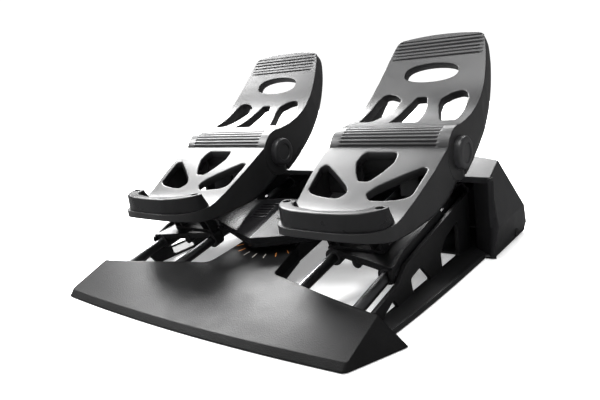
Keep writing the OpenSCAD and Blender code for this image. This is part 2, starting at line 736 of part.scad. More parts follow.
// Heel stop: a crescent wall screwed down near its ends
stop_in = 1.5;
stop_outer_shares = [[0, 0.012], [0.45, 0.03], [0.76, 0.08], [0.84, 0.16], [0.84, 0.27]];
stop_inner_shares = [[0.62, 0.27], [0.6, 0.2], [0.46, 0.13], [0, 0.075]];
screw_x = 51.4;
screw_y = 111;
screw_r = 2;
screw_head_r = 4;
screw_head_h = 4;
screw_deep = 20;
hex_r = 2;
module heel_stop(side) color("#3a3b3f") in_pedal(side) difference() {
    outer = [for (s = stop_outer_shares) heel_pt(s)];
    inner = [for (s = stop_inner_shares) heel_pt(s)];
    translate([0, 0, heel_z - heel_rim_h]) linear_extrude(stop_z - heel_z + heel_rim_h)
        polygon(soften(concat(
            outer, inner, [for (q = flip(inner)) if (q.x > 0) [-q.x, q.y]],
            [for (q = flip(outer)) if (q.x > 0) [-q.x, q.y]]), stop_in));
    along_x(-pedal_half, pedal_half) polygon(concat(
        heel_top, [[heel_y + heel_run, 0], [heel_y - over * 5, 0], [heel_y - over * 5, heel_z]]));
    for (s = [-1, 1]) translate([s * screw_x, screw_y, 0]) {
        cylinder(r = screw_r + set_fit, h = stop_z + over);
        translate([0, 0, stop_z - screw_head_h - seat_gap])
            cylinder(r = screw_head_r + seat_gap, h = screw_head_h + over);
    }
}
module stop_screw(side, s) color("#8a8d92") in_pedal(side)
    translate([s * screw_x, screw_y, stop_z - screw_deep - seat_gap]) difference() {
        union() {
            cylinder(r = screw_r, h = screw_deep);
            translate([0, 0, screw_deep - screw_head_h]) cylinder(r = screw_head_r, h = screw_head_h);
        }
        translate([0, 0, screw_deep - screw_head_h * 0.6]) cylinder(r = hex_r, h = screw_head_h, $fn = 6);
    }

// Tower: two leaning front posts and two rear struts on one flange
post_x = 25;
post_w = 14;
post_top_y = [118, 128];
post_low_y = [145, 156];
strut_t = 4;
strut_y = [216, 230];
flange_t = 3;
flange_v = [149, 161];
flange_rear_v = [220, 244];
flange_mid_x = 118;
function flange_z(y) = rail_z(y) + (deck_up + flange_t) / cos(rail_tilt);
module tower(side) color("#242528") {
    in_pedal(side) difference() {
        union() {
            for (s = [-1, 1]) along_x(s * post_x - post_w / 2, s * post_x + post_w / 2) polygon([
                [post_top_y[0], stop_z], [post_low_y[0], flange_z(post_low_y[0]) - flange_t],
                [post_low_y[1], flange_z(post_low_y[1]) - flange_t], [post_top_y[1], stop_z]
            ]);
        }
        along_x(-pedal_half, pedal_half) polygon(concat(
            lowered(heel_top, plate_t), [[heel_y + heel_run, hinge_z * 2], [heel_y, hinge_z * 2]]));
        for (s = [-1, 1]) along_x(s * post_x - post_w * 0.3, s * post_x + post_w * 0.3) polygon([
            [post_top_y[0] + post_w * 0.3, stop_z], [post_low_y[0] + post_w * 0.3, 0],
            [post_low_y[1] + post_w, 0], [post_top_y[1] + post_w, stop_z]
        ]);
    }
    in_pedal(side) for (s = [-1, 1]) along_x(s * lug_x - strut_t / 2, s * lug_x + strut_t / 2)
        intersection() {
            translate([strut_y[0], 0]) square([strut_y[1] - strut_y[0], hinge_z]);
            polygon([
                [wall_y, flange_z(wall_y) - flange_t], [hinge_y, flange_z(hinge_y) - flange_t],
                [hinge_y, hinge_z - lug_r], [wall_y, hinge_z - lug_r * 2.8]
            ]);
        }
    in_rails() on_side(side) translate([0, 0, deck_up]) linear_extrude(flange_t) polygon([
        [pedal_pitch / 2 - post_x - post_w / 2, flange_v[0]],
        [pedal_pitch / 2 + post_x + post_w / 2, flange_v[0]],
        [pedal_pitch / 2 + post_x + post_w / 2, flange_rear_v[0]],
        [pedal_pitch / 2 + lug_x + strut_t / 2, flange_rear_v[0]],
        [pedal_pitch / 2 + lug_x + strut_t / 2, flange_rear_v[1]],
        [pedal_pitch / 2 - lug_x - strut_t / 2, flange_rear_v[1]],
        [pedal_pitch / 2 - lug_x - strut_t / 2, flange_rear_v[0]],
        [flange_mid_x, flange_rear_v[0]], [flange_mid_x, flange_v[1]],
        [pedal_pitch / 2 - post_x - post_w / 2, flange_v[1]]
    ]);
}

// Toe plate: ribbed barrel, two ears and a hollow blade that curves up to its tip
crest_a = 82;
barrel_low_a = 182;
skirt_low_a = -69;
toe_front_shares = [[0.39, 0.053], [0.618, 0.24]];
toe_back_shares = [[0.395, 0.153], [0.924, 0.507]];
tip_t = 7;
face_tilt = 38;
ear_x = 58;
toe_tip = [toe_reach, toe_rise];
toe_front_ctrl = [
    polar(barrel_r, crest_a),
    for (s = toe_front_shares) between(polar(barrel_r, crest_a), toe_tip, s),
    toe_tip
];
toe_front = curve(toe_front_ctrl, 18);
toe_back = arch(polar(barrel_r, skirt_low_a), toe_tip + tip_t * [0.9, -0.45], toe_back_shares, 14);
face_len = turn(toe_tip, -face_tilt).x;
toe_half_shares = [[-0.25, 1], [0.18, 0.99], [0.58, 0.925]];
tip_shares = [[0.9, 1], [0.955, 0.92]];
tip_arc_share = 0.985;
toe_side_shares = [
    [0.83, 0.2], [0.835, 0.295], [0.815, 0.375], [0.8, 0.455], [0.74, 0.51], [0.64, 0.522],
    [0.49, 0.505], [0.36, 0.46], [0.38, 0.39], [0.455, 0.315], [0.53, 0.25], [0.6, 0.2]
];
toe_mid_shares = [[0.24, 0.18], [0.2, 0.31], [0.17, 0.38], [0.09, 0.48]];
slot_mid_share = 0.69;
slot_half_share = 0.475;
slot_high_share = 0.072;
toe_collar = 9;
rib_count = 8;
rib_groove_r = 1.3;
rib_span = [90, 156];
tip_groove_r = 0.9;
tip_groove_ts = [0.86, 0.88, 0.9, 0.92, 0.94, 0.96];

function face_pt(s) = [s.x * pedal_half, s.y * face_len];
function toe_outline(inset) =
    let (half = [
        for (s = toe_half_shares) [s.y * pedal_half - inset, s.x * face_len],
        for (s = tip_shares) [s.y * tip_half - inset, s.x * face_len - (s.y < 1 ? inset : 0)]
    ])
    let (corner = half[len(half) - 1])
    let (peak = [0, face_len * (2 * tip_arc_share - 0.955) - inset])
    let (top = curve([corner, peak, [-corner.x, corner.y]], 10))
    concat(half, [for (i = [1:9]) top[i]], [for (i = [len(half) - 1:-1:0]) [-half[i].x, half[i].y]]);
module in_face() rotate([face_tilt, 0, 0]) children();
module face_prism(inset) in_face() translate([0, 0, -toe_reach]) linear_extrude(2 * toe_reach)
    polygon(toe_outline(inset));
skin_shift = plate_t * 1.05 * [sin(face_tilt), -cos(face_tilt)];
module toe_space() intersection() {
    along_x(-pedal_w, pedal_w) polygon(concat(
        [for (q = toe_front) q + skin_shift],
        [toe_tip + skin_shift * toe_rise / plate_t, [toe_reach, -toe_reach], [-shaft_r, -toe_reach],
            [-shaft_r, barrel_r - plate_t]]));
    face_prism(skirt_t);
}
function toe_holes() =
    let (side = [for (s = toe_side_shares) face_pt(s)])
    let (mid = [for (s = toe_mid_shares) face_pt(s)])
    let (slot = [
        for (a = [0:20:359]) let (e = polar(1, a))
            [e.x * slot_half_share * pedal_half,
                face_len * (slot_mid_share + slot_high_share * sign(e.y) * abs(e.y) ^ 0.8)]
    ])
    [
        soften(side, collar_t * 1.4), soften(across(side), collar_t * 1.4),
        soften(concat(mid, across(mid)), collar_t), slot
    ];
module toe_band(deep) along_x(-pedal_half, pedal_half) polygon(concat(
    toe_front, flip([for (q = toe_front) q + deep * [sin(face_tilt), -cos(face_tilt)]])));
module barrel_sector() difference() {
    circle(barrel_r);
    circle(barrel_r - plate_t);
    polygon([
        [0, 0], polar(barrel_r * 2, barrel_low_a), polar(barrel_r * 3, barrel_low_a + 60),
        polar(barrel_r * 3, 300), polar(barrel_r * 3, 0), polar(barrel_r * 2, crest_a - 2)
    ]);
}
module toe_plate(side) color("#38393d") in_pedal(side) at_hinge() difference() {
    union() {
        difference() {
            intersection() {
                along_x(-pedal_w, pedal_w) polygon(concat(toe_front, flip(toe_back)));
                face_prism(0);
            }
            toe_space();
        }
        for (s = [-1, 1]) translate([s * (ear_x + pedal_half) / 2, 0, 0])
            along_x((ear_x - pedal_half) / 2, (pedal_half - ear_x) / 2) circle(barrel_r);
        along_x(-ear_x - over, ear_x + over) barrel_sector();
        intersection() {
            toe_band(toe_collar);
            for (h = toe_holes()) in_face() translate([0, 0, -toe_reach]) linear_extrude(2 * toe_reach)
                polygon(grow(h, collar_t));
        }
    }
    for (h = toe_holes()) in_face() linear_extrude(2 * toe_reach, center = true) polygon(h);
    for (i = [0:rib_count - 1])
        let (a = rib_span[0] + (rib_span[1] - rib_span[0]) * i / (rib_count - 1))
        along_x(-ear_x, ear_x) translate(polar(barrel_r, a)) circle(rib_groove_r, $fn = 12);
    for (t = tip_groove_ts)
        along_x(-tip_half * 0.86, tip_half * 0.86) translate(bez(toe_front_ctrl, t))
            circle(tip_groove_r, $fn = 12);
    along_x(-pedal_w, pedal_w) circle(shaft_r + run_fit);
}
module hinge_cap(side, s) color("#2c2d31") in_pedal(side) at_hinge() on_side(s)
    translate([pedal_half, 0, 0]) rotate([0, 90, 0]) rotate_extrude() polygon(concat(
        [[0, 0], [cap_r, 0]],
        curve([[cap_r, cap_t * 0.55], [cap_r, cap_t], [cap_r - cap_t * 0.45, cap_t]], 5),
        [[cap_r * 0.62, cap_t], [cap_r * 0.58, cap_t * 0.86], [0, cap_t * 0.86]]));

// Hinge shaft and the sensor that reads the toe plate
sensor_len = 9;
module hinge_shaft(side) color("#aeb1b5") in_pedal(side) at_hinge()
    along_x(seat_gap - pedal_half, pedal_half - seat_gap) circle(shaft_r);
module brake_sensor(side) color("#30343a") in_pedal(side) at_hinge()
    along_x(lug_x - lug_t / 2 - sensor_len, lug_x - lug_t / 2) difference() {
        circle(sensor_r);
        circle(shaft_r + seat_gap);
    }

heel_board();
centre_spine();
spine_cover();
circuit_board();
rudder_sensor();
pivot_post();
side_frame(-1);  // side_frame_l
side_frame(1);  // side_frame_r
rear_housing();
rear_cover();
cable_gland();
rail(-rail_out_x);  // rail_l_outer
rail(-rail_in_x);  // rail_l_inner
rail(rail_in_x);  // rail_r_inner
rail(rail_out_x);  // rail_r_outer
foot(-foot_front_x, foot_front_y);  // foot_front_l
foot(foot_front_x, foot_front_y);  // foot_front_r
foot(-foot_rear_x, foot_rear_y);  // foot_rear_l
foot(foot_rear_x, foot_rear_y);  // foot_rear_r
rocker_arm();
rocker_hood();
rocker_pin(-1);  // rocker_pin_l
rocker_pin(1);  // rocker_pin_r
rocker_nut();
carriage(-1);  // carriage_l
carriage(1);  // carriage_r
tower(-1);  // tower_l
tower(1);  // tower_r
bush(-1, rail_out_x, boss_front_v);  // bush_l_outer_front
bush(-1, rail_out_x, boss_rear_v);  // bush_l_outer_rear
bush(-1, rail_in_x, boss_front_v);  // bush_l_inner_front
bush(-1, rail_in_x, boss_rear_v);  // bush_l_inner_rear
bush(1, rail_in_x, boss_front_v);  // bush_r_inner_front
bush(1, rail_in_x, boss_rear_v);  // bush_r_inner_rear
bush(1, rail_out_x, boss_front_v);  // bush_r_outer_front
bush(1, rail_out_x, boss_rear_v);  // bush_r_outer_rear
heel_plate(-1);  // heel_plate_l
heel_plate(1);  // heel_plate_r
heel_stop(-1);  // heel_stop_l
heel_stop(1);  // heel_stop_r
stop_screw(-1, -1);  // stop_screw_l_left
stop_screw(-1, 1);  // stop_screw_l_right
stop_screw(1, -1);  // stop_screw_r_left
stop_screw(1, 1);  // stop_screw_r_right
hinge_shaft(-1);  // hinge_shaft_l
hinge_shaft(1);  // hinge_shaft_r
brake_sensor(-1);  // brake_sensor_l
brake_sensor(1);  // brake_sensor_r
toe_plate(-1);  // toe_plate_l
toe_plate(1);  // toe_plate_r
hinge_cap(-1, -1);  // hinge_cap_l_left
hinge_cap(-1, 1);  // hinge_cap_l_right
hinge_cap(1, -1);  // hinge_cap_r_left
hinge_cap(1, 1);  // hinge_cap_r_right
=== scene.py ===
import json
import math

import bmesh
import bpy
from mathutils import Matrix, Vector


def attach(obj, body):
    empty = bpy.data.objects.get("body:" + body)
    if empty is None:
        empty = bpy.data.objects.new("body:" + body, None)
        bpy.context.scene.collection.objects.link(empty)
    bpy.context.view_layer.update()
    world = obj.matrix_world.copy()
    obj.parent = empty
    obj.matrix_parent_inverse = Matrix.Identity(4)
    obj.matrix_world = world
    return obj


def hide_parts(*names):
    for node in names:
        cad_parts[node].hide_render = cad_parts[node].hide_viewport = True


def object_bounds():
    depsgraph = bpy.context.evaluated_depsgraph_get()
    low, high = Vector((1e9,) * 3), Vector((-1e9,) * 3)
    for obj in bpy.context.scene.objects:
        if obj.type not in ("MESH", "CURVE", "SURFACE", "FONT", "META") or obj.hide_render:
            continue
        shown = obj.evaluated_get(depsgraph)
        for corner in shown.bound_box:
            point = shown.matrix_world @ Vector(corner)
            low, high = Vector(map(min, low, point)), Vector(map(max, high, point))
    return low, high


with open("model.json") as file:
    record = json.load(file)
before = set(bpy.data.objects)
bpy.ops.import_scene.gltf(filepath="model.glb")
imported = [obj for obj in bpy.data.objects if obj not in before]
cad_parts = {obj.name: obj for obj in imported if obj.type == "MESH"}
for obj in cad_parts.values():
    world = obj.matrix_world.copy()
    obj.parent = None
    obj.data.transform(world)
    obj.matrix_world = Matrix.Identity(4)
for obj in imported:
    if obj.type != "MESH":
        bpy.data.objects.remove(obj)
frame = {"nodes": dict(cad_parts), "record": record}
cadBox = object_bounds()
record = frame["record"]
scene = bpy.context.scene
slotOf = {part["node"]: part["material_slot"] for part in record["subparts"]}

# The pedals' own layout in millimetres: y runs back from the apex of the heel board
layout = {
    "frontY": cadBox[0].y * 1000,
    "railTilt": math.radians(11.3),
    "railFloor": 3.5,
    "rails": [89, 160],
    "pedalX": 117.5,
    "hinge": Vector((243, 121)),
    "barrel": 28.5,
    "crest": 82,
    "sides": {"l": -1, "r": 1},
}

print("camera")
viewPoint = {
    "place": (0.42107, -0.49111, 0.23553),
    "yaw": 39.2,
    "pitch": 14.0,
    "roll": -7.2,
    "lens": 34.914,
    "sensor": 36,
    "clip": (0.01, 30),
}


def addCamera(values):
    yaw, pitch, roll = (math.radians(values[k]) for k in ("yaw", "pitch", "roll"))
    ahead = Vector((-math.sin(yaw) * math.cos(pitch), math.cos(yaw) * math.cos(pitch), -math.sin(pitch)))
    side = Vector((math.cos(yaw), math.sin(yaw), 0))
    top = side.cross(ahead)
    right = side * math.cos(roll) + top * math.sin(roll)
    up = top * math.cos(roll) - side * math.sin(roll)
    data = bpy.data.cameras.new("camera")
    data.sensor_width = values["sensor"]
    data.lens = values["lens"]
    data.clip_start, data.clip_end = values["clip"]
    camera = bpy.data.objects.new("camera", data)
    turn = Matrix((right, up, -ahead)).transposed().to_4x4()
    camera.matrix_world = Matrix.Translation(values["place"]) @ turn
    scene.collection.objects.link(camera)
    scene.camera = camera


addCamera(viewPoint)

print("studio")
studio = {
    "floorSize": 3.0,
    "floorRough": 0.9,
    "floorShine": 0.1,
    "floorTone": 0.85,
    "floorGlossTone": 0.06,  # a gloss sees a dark floor and sky, as black flags give
    "floorGlow": 0.3,  # a lit sweep, so that shadows under the part stay pale
    "skyPower": 1.1,
    "skyGlossPower": 0.18,
    "contrast": "None",
    "lamps": [  # place, aim, size, power
        ((-2.05, 1.48, 1.88), (0, 0, 0.1), (1.6, 1.05), 186),
        ((-0.58, 2.48, 1.9), (0, 0, 0.1), (1.4, 1.2), 72),
        ((-0.1, -0.35, 2.3), (0, 0, 0.1), (1.6, 0.8), 55),
        ((-1.75, -0.55, 1.7), (-0.1, 0.1, 0.2), (0.8, 0.8), 80),
    ],
}


def flagged(tree, target, plain, glossy):
    # one value for every ray but the glossy ones
    path = tree.nodes.new("ShaderNodeLightPath")
    span = tree.nodes.new("ShaderNodeMapRange")
    span.inputs["To Min"].default_value, span.inputs["To Max"].default_value = plain, glossy
    tree.links.new(path.outputs["Is Glossy Ray"], span.inputs["Value"])
    tree.links.new(span.outputs["Result"], target)


def addStudio(values):
    bm = bmesh.new()
    bmesh.ops.create_grid(bm, x_segments=1, y_segments=1, size=values["floorSize"] / 2)
    mesh = bpy.data.meshes.new("floor")
    bm.to_mesh(mesh)
    bm.free()
    floor = bpy.data.objects.new("floor", mesh)
    scene.collection.objects.link(floor)
    finish = bpy.data.materials.new("floorPaper")
    finish.use_nodes = True
    shader = finish.node_tree.nodes["Principled BSDF"]
    shader.inputs["Roughness"].default_value = values["floorRough"]
    shader.inputs["Specular IOR Level"].default_value = values["floorShine"]
    flagged(finish.node_tree, shader.inputs["Base Color"], values["floorTone"], values["floorGlossTone"])
    shader.inputs["Emission Color"].default_value = (1, 1, 1, 1)
    flagged(finish.node_tree, shader.inputs["Emission Strength"], values["floorGlow"], 0)
    mesh.materials.append(finish)
    world = bpy.data.worlds.new("studio")
    world.use_nodes = True
    back = world.node_tree.nodes["Background"]
    flagged(world.node_tree, back.inputs["Strength"], values["skyPower"], values["skyGlossPower"])
    back.inputs["Color"].default_value = (1, 1, 1, 1)
    scene.world = world
    scene.view_settings.view_transform = "Standard"
    scene.view_settings.look = values["contrast"]
    for number, (place, aim, size, power) in enumerate(values["lamps"]):
        data = bpy.data.lights.new(f"lamp{number}", "AREA")
        data.shape = "RECTANGLE"
        data.size, data.size_y = size
        data.energy = power
        lamp = bpy.data.objects.new(f"lamp{number}", data)
        way = Vector(aim) - Vector(place)
        lamp.matrix_world = Matrix.Translation(place) @ way.to_track_quat("-Z", "Y").to_matrix().to_4x4()
        scene.collection.objects.link(lamp)


addStudio(studio)

print("materials")
finishes = {
    "board_plastic": {"kind": "leather", "colour": (0.004, 0.004, 0.0042), "rough": 0.40,
                      "grain": 900, "deep": 0.10, "edge": 1.2, "shine": 0.13},
    "pedal_plastic": {"kind": "spark", "colour": (0.011, 0.011, 0.0115), "rough": 0.36,
                      "grain": 2600, "deep": 0.03, "edge": 0.4},
    "stop_plastic": {"kind": "spark", "colour": (0.008, 0.008, 0.0085), "rough": 0.30,
                     "grain": 2600, "deep": 0.03, "edge": 0.4, "shine": 0.2},
    "cap_plastic": {"kind": "spark", "colour": (0.016, 0.016, 0.017), "rough": 0.36,
                    "grain": 3000, "deep": 0.02, "edge": 0.8},
    "housing_plastic": {"kind": "spark", "colour": (0.011, 0.011, 0.012), "rough": 0.40,
                        "grain": 2200, "deep": 0.04, "edge": 1.0, "shine": 0.25},
    "frame_plastic": {"kind": "spark", "colour": (0.008, 0.008, 0.0085), "rough": 0.40,
                      "grain": 2200, "deep": 0.04, "edge": 0.8},
    "carriage_plastic": {"kind": "spark", "colour": (0.006, 0.006, 0.0065), "rough": 0.38,
                         "grain": 2200, "deep": 0.03, "edge": 0.7},
    "rocker_plastic": {"kind": "spark", "colour": (0.005, 0.005, 0.0055), "rough": 0.22,
                       "grain": 2600, "deep": 0.02, "edge": 1.0},
    "foot_rubber": {"kind": "spark", "colour": (0.012, 0.012, 0.012), "rough": 0.75,
                    "grain": 1400, "deep": 0.08, "edge": 0.6},
    "board_laminate": {"kind": "spark", "colour": (0.01, 0.10, 0.04), "rough": 0.30,
                       "grain": 1800, "deep": 0.02, "edge": 0.2},
    "sensor_plastic": {"kind": "spark", "colour": (0.02, 0.025, 0.03), "rough": 0.45,
                       "grain": 2200, "deep": 0.02, "edge": 0.3},
    "bush_nylon": {"kind": "spark", "colour": (0.022, 0.022, 0.023), "rough": 0.38,
                   "grain": 2200, "deep": 0.01, "edge": 0.3},
    "rail_steel": {"kind": "steel", "colour": (0.16, 0.16, 0.165), "rough": 0.36,
                   "grain": 500, "deep": 0.0006},
    "fastener_steel": {"kind": "steel", "colour": (0.05, 0.05, 0.055), "rough": 0.34,
                       "grain": 700, "deep": 0.004},
}

wear = {  # how much a finish varies over its piece
    "cloud": 38.0,
    "cloudTone": (0.88, 1.14),
    "cloudRough": (-0.04, 0.05),
    "cellSmooth": 0.4,
    "shine": 0.35,
    "steelCloud": 60.0,
    "steelTone": (0.9, 1.1),
    "steelRough": (-0.04, 0.06),
    "steelStretch": 0.02,
}


class Wiring:
    def __init__(self, name):
        self.material = bpy.data.materials.new(name)
        self.material.use_nodes = True
        self.tree = self.material.node_tree
        self.shader = self.tree.nodes["Principled BSDF"]

    def add(self, kind, **inputs):
        node = self.tree.nodes.new(kind)
        for key, value in inputs.items():
            if hasattr(node, key):
                setattr(node, key, value)
            else:
                node.inputs[key.replace("_", " ").title()].default_value = value
        return node

    def link(self, source, target):
        self.tree.links.new(source, target)

    def ramp(self, source, low, high, start=0.3, end=0.7):
        node = self.add("ShaderNodeMapRange")
        for key, value in (("From Min", start), ("From Max", end), ("To Min", low), ("To Max", high)):
            node.inputs[key].default_value = value
        self.link(source, node.inputs["Value"])
        return node.outputs["Result"]

    def tinted(self, colour, tone):
        node = self.add("ShaderNodeMix", data_type="RGBA", blend_type="MULTIPLY")
        node.inputs["Factor"].default_value = 1
        node.inputs[6].default_value = (*colour, 1)  # 6, 7 and 2 are the mix node's colour sockets
        self.link(tone, node.inputs[7])
        self.link(node.outputs[2], self.shader.inputs["Base Color"])

    def relief(self, height, deep):
        bump = self.add("ShaderNodeBump")
        bump.inputs["Distance"].default_value = deep / 1000
        self.link(height, bump.inputs["Height"])
        self.link(bump.outputs["Normal"], self.shader.inputs["Normal"])
        return bump


def mouldedFinish(slot, values):
    wiring = Wiring(slot)
    shader = wiring.shader
    coords = wiring.add("ShaderNodeTexCoord").outputs["Object"]
    cloudy = wiring.add("ShaderNodeTexNoise", Scale=wear["cloud"], Detail=4.0, Roughness=0.6)
    wiring.link(coords, cloudy.inputs["Vector"])
    wiring.tinted(values["colour"], wiring.ramp(cloudy.outputs["Fac"], *wear["cloudTone"]))
    if values["kind"] == "leather":
        cells = wiring.add("ShaderNodeTexVoronoi", feature="SMOOTH_F1", Scale=float(values["grain"]))
        cells.inputs["Smoothness"].default_value = wear["cellSmooth"]
        relief = cells.outputs["Distance"]
    else:
        cells = wiring.add("ShaderNodeTexNoise", Scale=float(values["grain"]), Detail=2.0, Roughness=0.6)
        relief = cells.outputs["Fac"]
    wiring.link(coords, cells.inputs["Vector"])
    low, high = (values["rough"] + change for change in wear["cloudRough"])
    wiring.link(wiring.ramp(cloudy.outputs["Fac"], low, high), shader.inputs["Roughness"])
    rounding = wiring.add("ShaderNodeBevel", samples=6)
    rounding.inputs["Radius"].default_value = values["edge"] / 1000
    bump = wiring.relief(relief, values["deep"])
    wiring.link(rounding.outputs["Normal"], bump.inputs["Normal"])
    shader.inputs["Specular IOR Level"].default_value = values.get("shine", wear["shine"])
    return wiring.material


def steelFinish(slot, values):
    wiring = Wiring(slot)
    shader = wiring.shader
    coords = wiring.add("ShaderNodeTexCoord").outputs["Object"]
    turn = wiring.add("ShaderNodeMapping")
    turn.inputs["Rotation"].default_value = (-layout["railTilt"], 0, 0)
    turn.inputs["Scale"].default_value = (1, wear["steelStretch"], 1)
    wiring.link(coords, turn.inputs["Vector"])
    streaks = wiring.add("ShaderNodeTexNoise", Scale=float(values["grain"]), Detail=2.0)
    wiring.link(turn.outputs["Vector"], streaks.inputs["Vector"])
    cloudy = wiring.add("ShaderNodeTexNoise", Scale=wear["steelCloud"], Detail=4.0)
    wiring.link(coords, cloudy.inputs["Vector"])
    low, high = (values["rough"] + change for change in wear["steelRough"])
    wiring.link(wiring.ramp(streaks.outputs["Fac"], low, high), shader.inputs["Roughness"])
    wiring.tinted(values["colour"], wiring.ramp(cloudy.outputs["Fac"], *wear["steelTone"]))
    shader.inputs["Metallic"].default_value = 1
    wiring.relief(streaks.outputs["Fac"], values["deep"])
    return wiring.material


makers = {"leather": mouldedFinish, "spark": mouldedFinish, "steel": steelFinish}
materialOf = {slot: makers[values["kind"]](slot, values) for slot, values in finishes.items()}

print("outlines and profiles")
slack = {"weld": 0.001, "same": 0.01, "near": 0.1}  # millimetres


def bezier(points, t):
    while len(points) > 1:
        points = [a.lerp(b, t) for a, b in zip(points, points[1:])]
    return points[0]


def between(a, b, share):
    return Vector((a.x + (b.x - a.x) * share[0], a.y + (b.y - a.y) * share[1]))


def arch(a, b, shares, count):
    ties = [a, *(between(a, b, share) for share in shares), b]
    return [bezier(ties, k / count) for k in range(count + 1)]


def polar(radius, degrees):
    return Vector((radius * math.cos(math.radians(degrees)), radius * math.sin(math.radians(degrees))))


def flipped(points):
    return [Vector((-p.x, p.y)) for p in reversed(points)]


def placed(table, y):
    return [Vector((across, y + back)) for across, back in table]


def softened(points, radius, count=4, most=0.45):
    # each corner becomes a curve, which takes at most this share of either side
    rounded = []
    for k, corner in enumerate(points):
        before, after = points[k - 1] - corner, points[(k + 1) % len(points)] - corner
        reach = min(radius, before.length * most, after.length * most)
        ties = [corner + before.normalized() * reach, corner, corner + after.normalized() * reach]
        rounded += [bezier(ties, n / count) for n in range(count + 1)]
    return rounded


def lookUp(table, x):
    for (x0, y0), (x1, y1) in zip(table, table[1:]):
        if x <= x1:
            break
    return y0 + (y1 - y0) * (x - x0) / (x1 - x0)


class Profile:
    # A side view's line: a run along it gives its point and its outward normal
    def __init__(self, points, zero=0.0):
        self.points = points
        self.runs = [-zero]
        for a, b in zip(points, points[1:]):
            self.runs.append(self.runs[-1] + (b - a).length)
        ends = [points[0] * 2 - points[1], *points, points[-1] * 2 - points[-2]]
        self.ways = [(c - a).normalized() for a, c in zip(ends, ends[2:])]

    def at(self, run):
        k = 0
        while k < len(self.runs) - 2 and self.runs[k + 1] < run:
            k += 1
        share = (run - self.runs[k]) / (self.runs[k + 1] - self.runs[k])
        way = self.ways[k].lerp(self.ways[k + 1], min(max(share, 0), 1)).normalized()
        return self.points[k].lerp(self.points[k + 1], share), Vector((-way.y, way.x))


def addLoop(bm, points):
    verts = [bm.verts.new((p.x, p.y, 0)) for p in points]
    return [bm.edges.new(pair) for pair in zip(verts, verts[1:] + verts[:1])]


def addSheet(bm, outline, windows):
    rims = [addLoop(bm, points) for points in [outline, *windows]]
    bmesh.ops.triangle_fill(bm, use_beauty=True, edges=[e for rim in rims for e in rim], normal=(0, 0, 1))
    return rims


def pointsOf(grown):
    return [g for g in grown if isinstance(g, bmesh.types.BMVert)]


def edgesAmong(grown, points):
    return [g for g in grown if isinstance(g, bmesh.types.BMEdge) and set(g.verts) <= points]


def dropEdges(bm, edges, deep):
    grown = bmesh.ops.extrude_edge_only(bm, edges=edges)["geom"]
    verts = set(pointsOf(grown))
    bmesh.ops.translate(bm, verts=list(verts), vec=(0, 0, -deep))
    return edgesAmong(grown, verts)


def roundEdges(bm, edges, radius, segments):
    bmesh.ops.bevel(bm, geom=edges, offset=radius, offset_type="OFFSET", segments=segments, profile=0.5,
                    affect="EDGES", clamp_overlap=True, material=-1)


def sliceAt(bm, axis, marks):
    way = Vector((0, 0, 0))
    way[axis] = 1
    for mark in marks:
        everything = bm.verts[:] + bm.edges[:] + bm.faces[:]
        bmesh.ops.bisect_plane(bm, geom=everything, plane_co=way * mark, plane_no=way, dist=0.0001)


def steps(start, end, pitch):
    count = max(1, round((end - start) / pitch))
    return [start + (end - start) * k / count for k in range(count + 1)]


def spread(ends, count):
    start, end = ends
    return steps(start, end, (end - start) / (count - 1))


def growRow(bm, chain, flat):
    # a row of new points under an open edge, each with the flat place of the one above it
    grown = bmesh.ops.extrude_edge_only(bm, edges=chain)["geom"]
    fresh = set(pointsOf(grown))
    for v in fresh:
        origin = next(e.other_vert(v) for e in v.link_edges if e.other_vert(v) not in fresh)
        flat[v] = flat[origin].copy()
    return fresh, edgesAmong(grown, fresh)


def openEdge(bm, flat, hem):
    return [e for e in bm.edges
            if e.is_boundary and all(abs(flat[v].z + hem) < slack["same"] for v in e.verts)]


def turnOut(bm, up, facing=0.7):
    # faces point outwards where most of the area that faces this way does
    bmesh.ops.recalc_face_normals(bm, faces=bm.faces)
    tilts = [(face.normal.dot(up), face.calc_area()) for face in bm.faces]
    if sum(tilt * area for tilt, area in tilts if abs(tilt) > facing) < 0:
        bmesh.ops.reverse_faces(bm, faces=bm.faces)


def addPiece(name, bm, body, slot, nodes=(), wall=0.0, sharp=38.0, place=(0, 0)):
    # millimetres in the pedals' own layout become metres in the frame
    bmesh.ops.translate(bm, verts=bm.verts, vec=(place[0], layout["frontY"] + place[1], 0))
    bmesh.ops.scale(bm, verts=bm.verts, vec=(0.001, 0.001, 0.001))
    mesh = bpy.data.meshes.new(name)
    bm.to_mesh(mesh)
    bm.free()
    mesh.shade_smooth()
    mesh.set_sharp_from_angle(angle=math.radians(sharp))
    piece = bpy.data.objects.new(name, mesh)
    scene.collection.objects.link(piece)
    mesh.materials.append(materialOf[slot])
    if wall:
        shell = piece.modifiers.new("wall", "SOLIDIFY")
        shell.thickness = wall / 1000
        shell.offset = -1
        shell.use_quality_normals = True
    weighted = piece.modifiers.new("normals", "WEIGHTED_NORMAL")
    weighted.keep_sharp = True
    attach(piece, body)
    if nodes:
        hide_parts(*nodes)
    return piece


def addPedalPiece(name, bm, side, body, slot, nodes, wall=0.0, sharp=40):
    place = (layout["sides"][side] * layout["pedalX"], 0)
    ending = {"l": "_left", "r": "_right"}[side]
    addPiece(f"{name}_{side}", bm, body + ending, slot, nodes, wall, sharp, place)


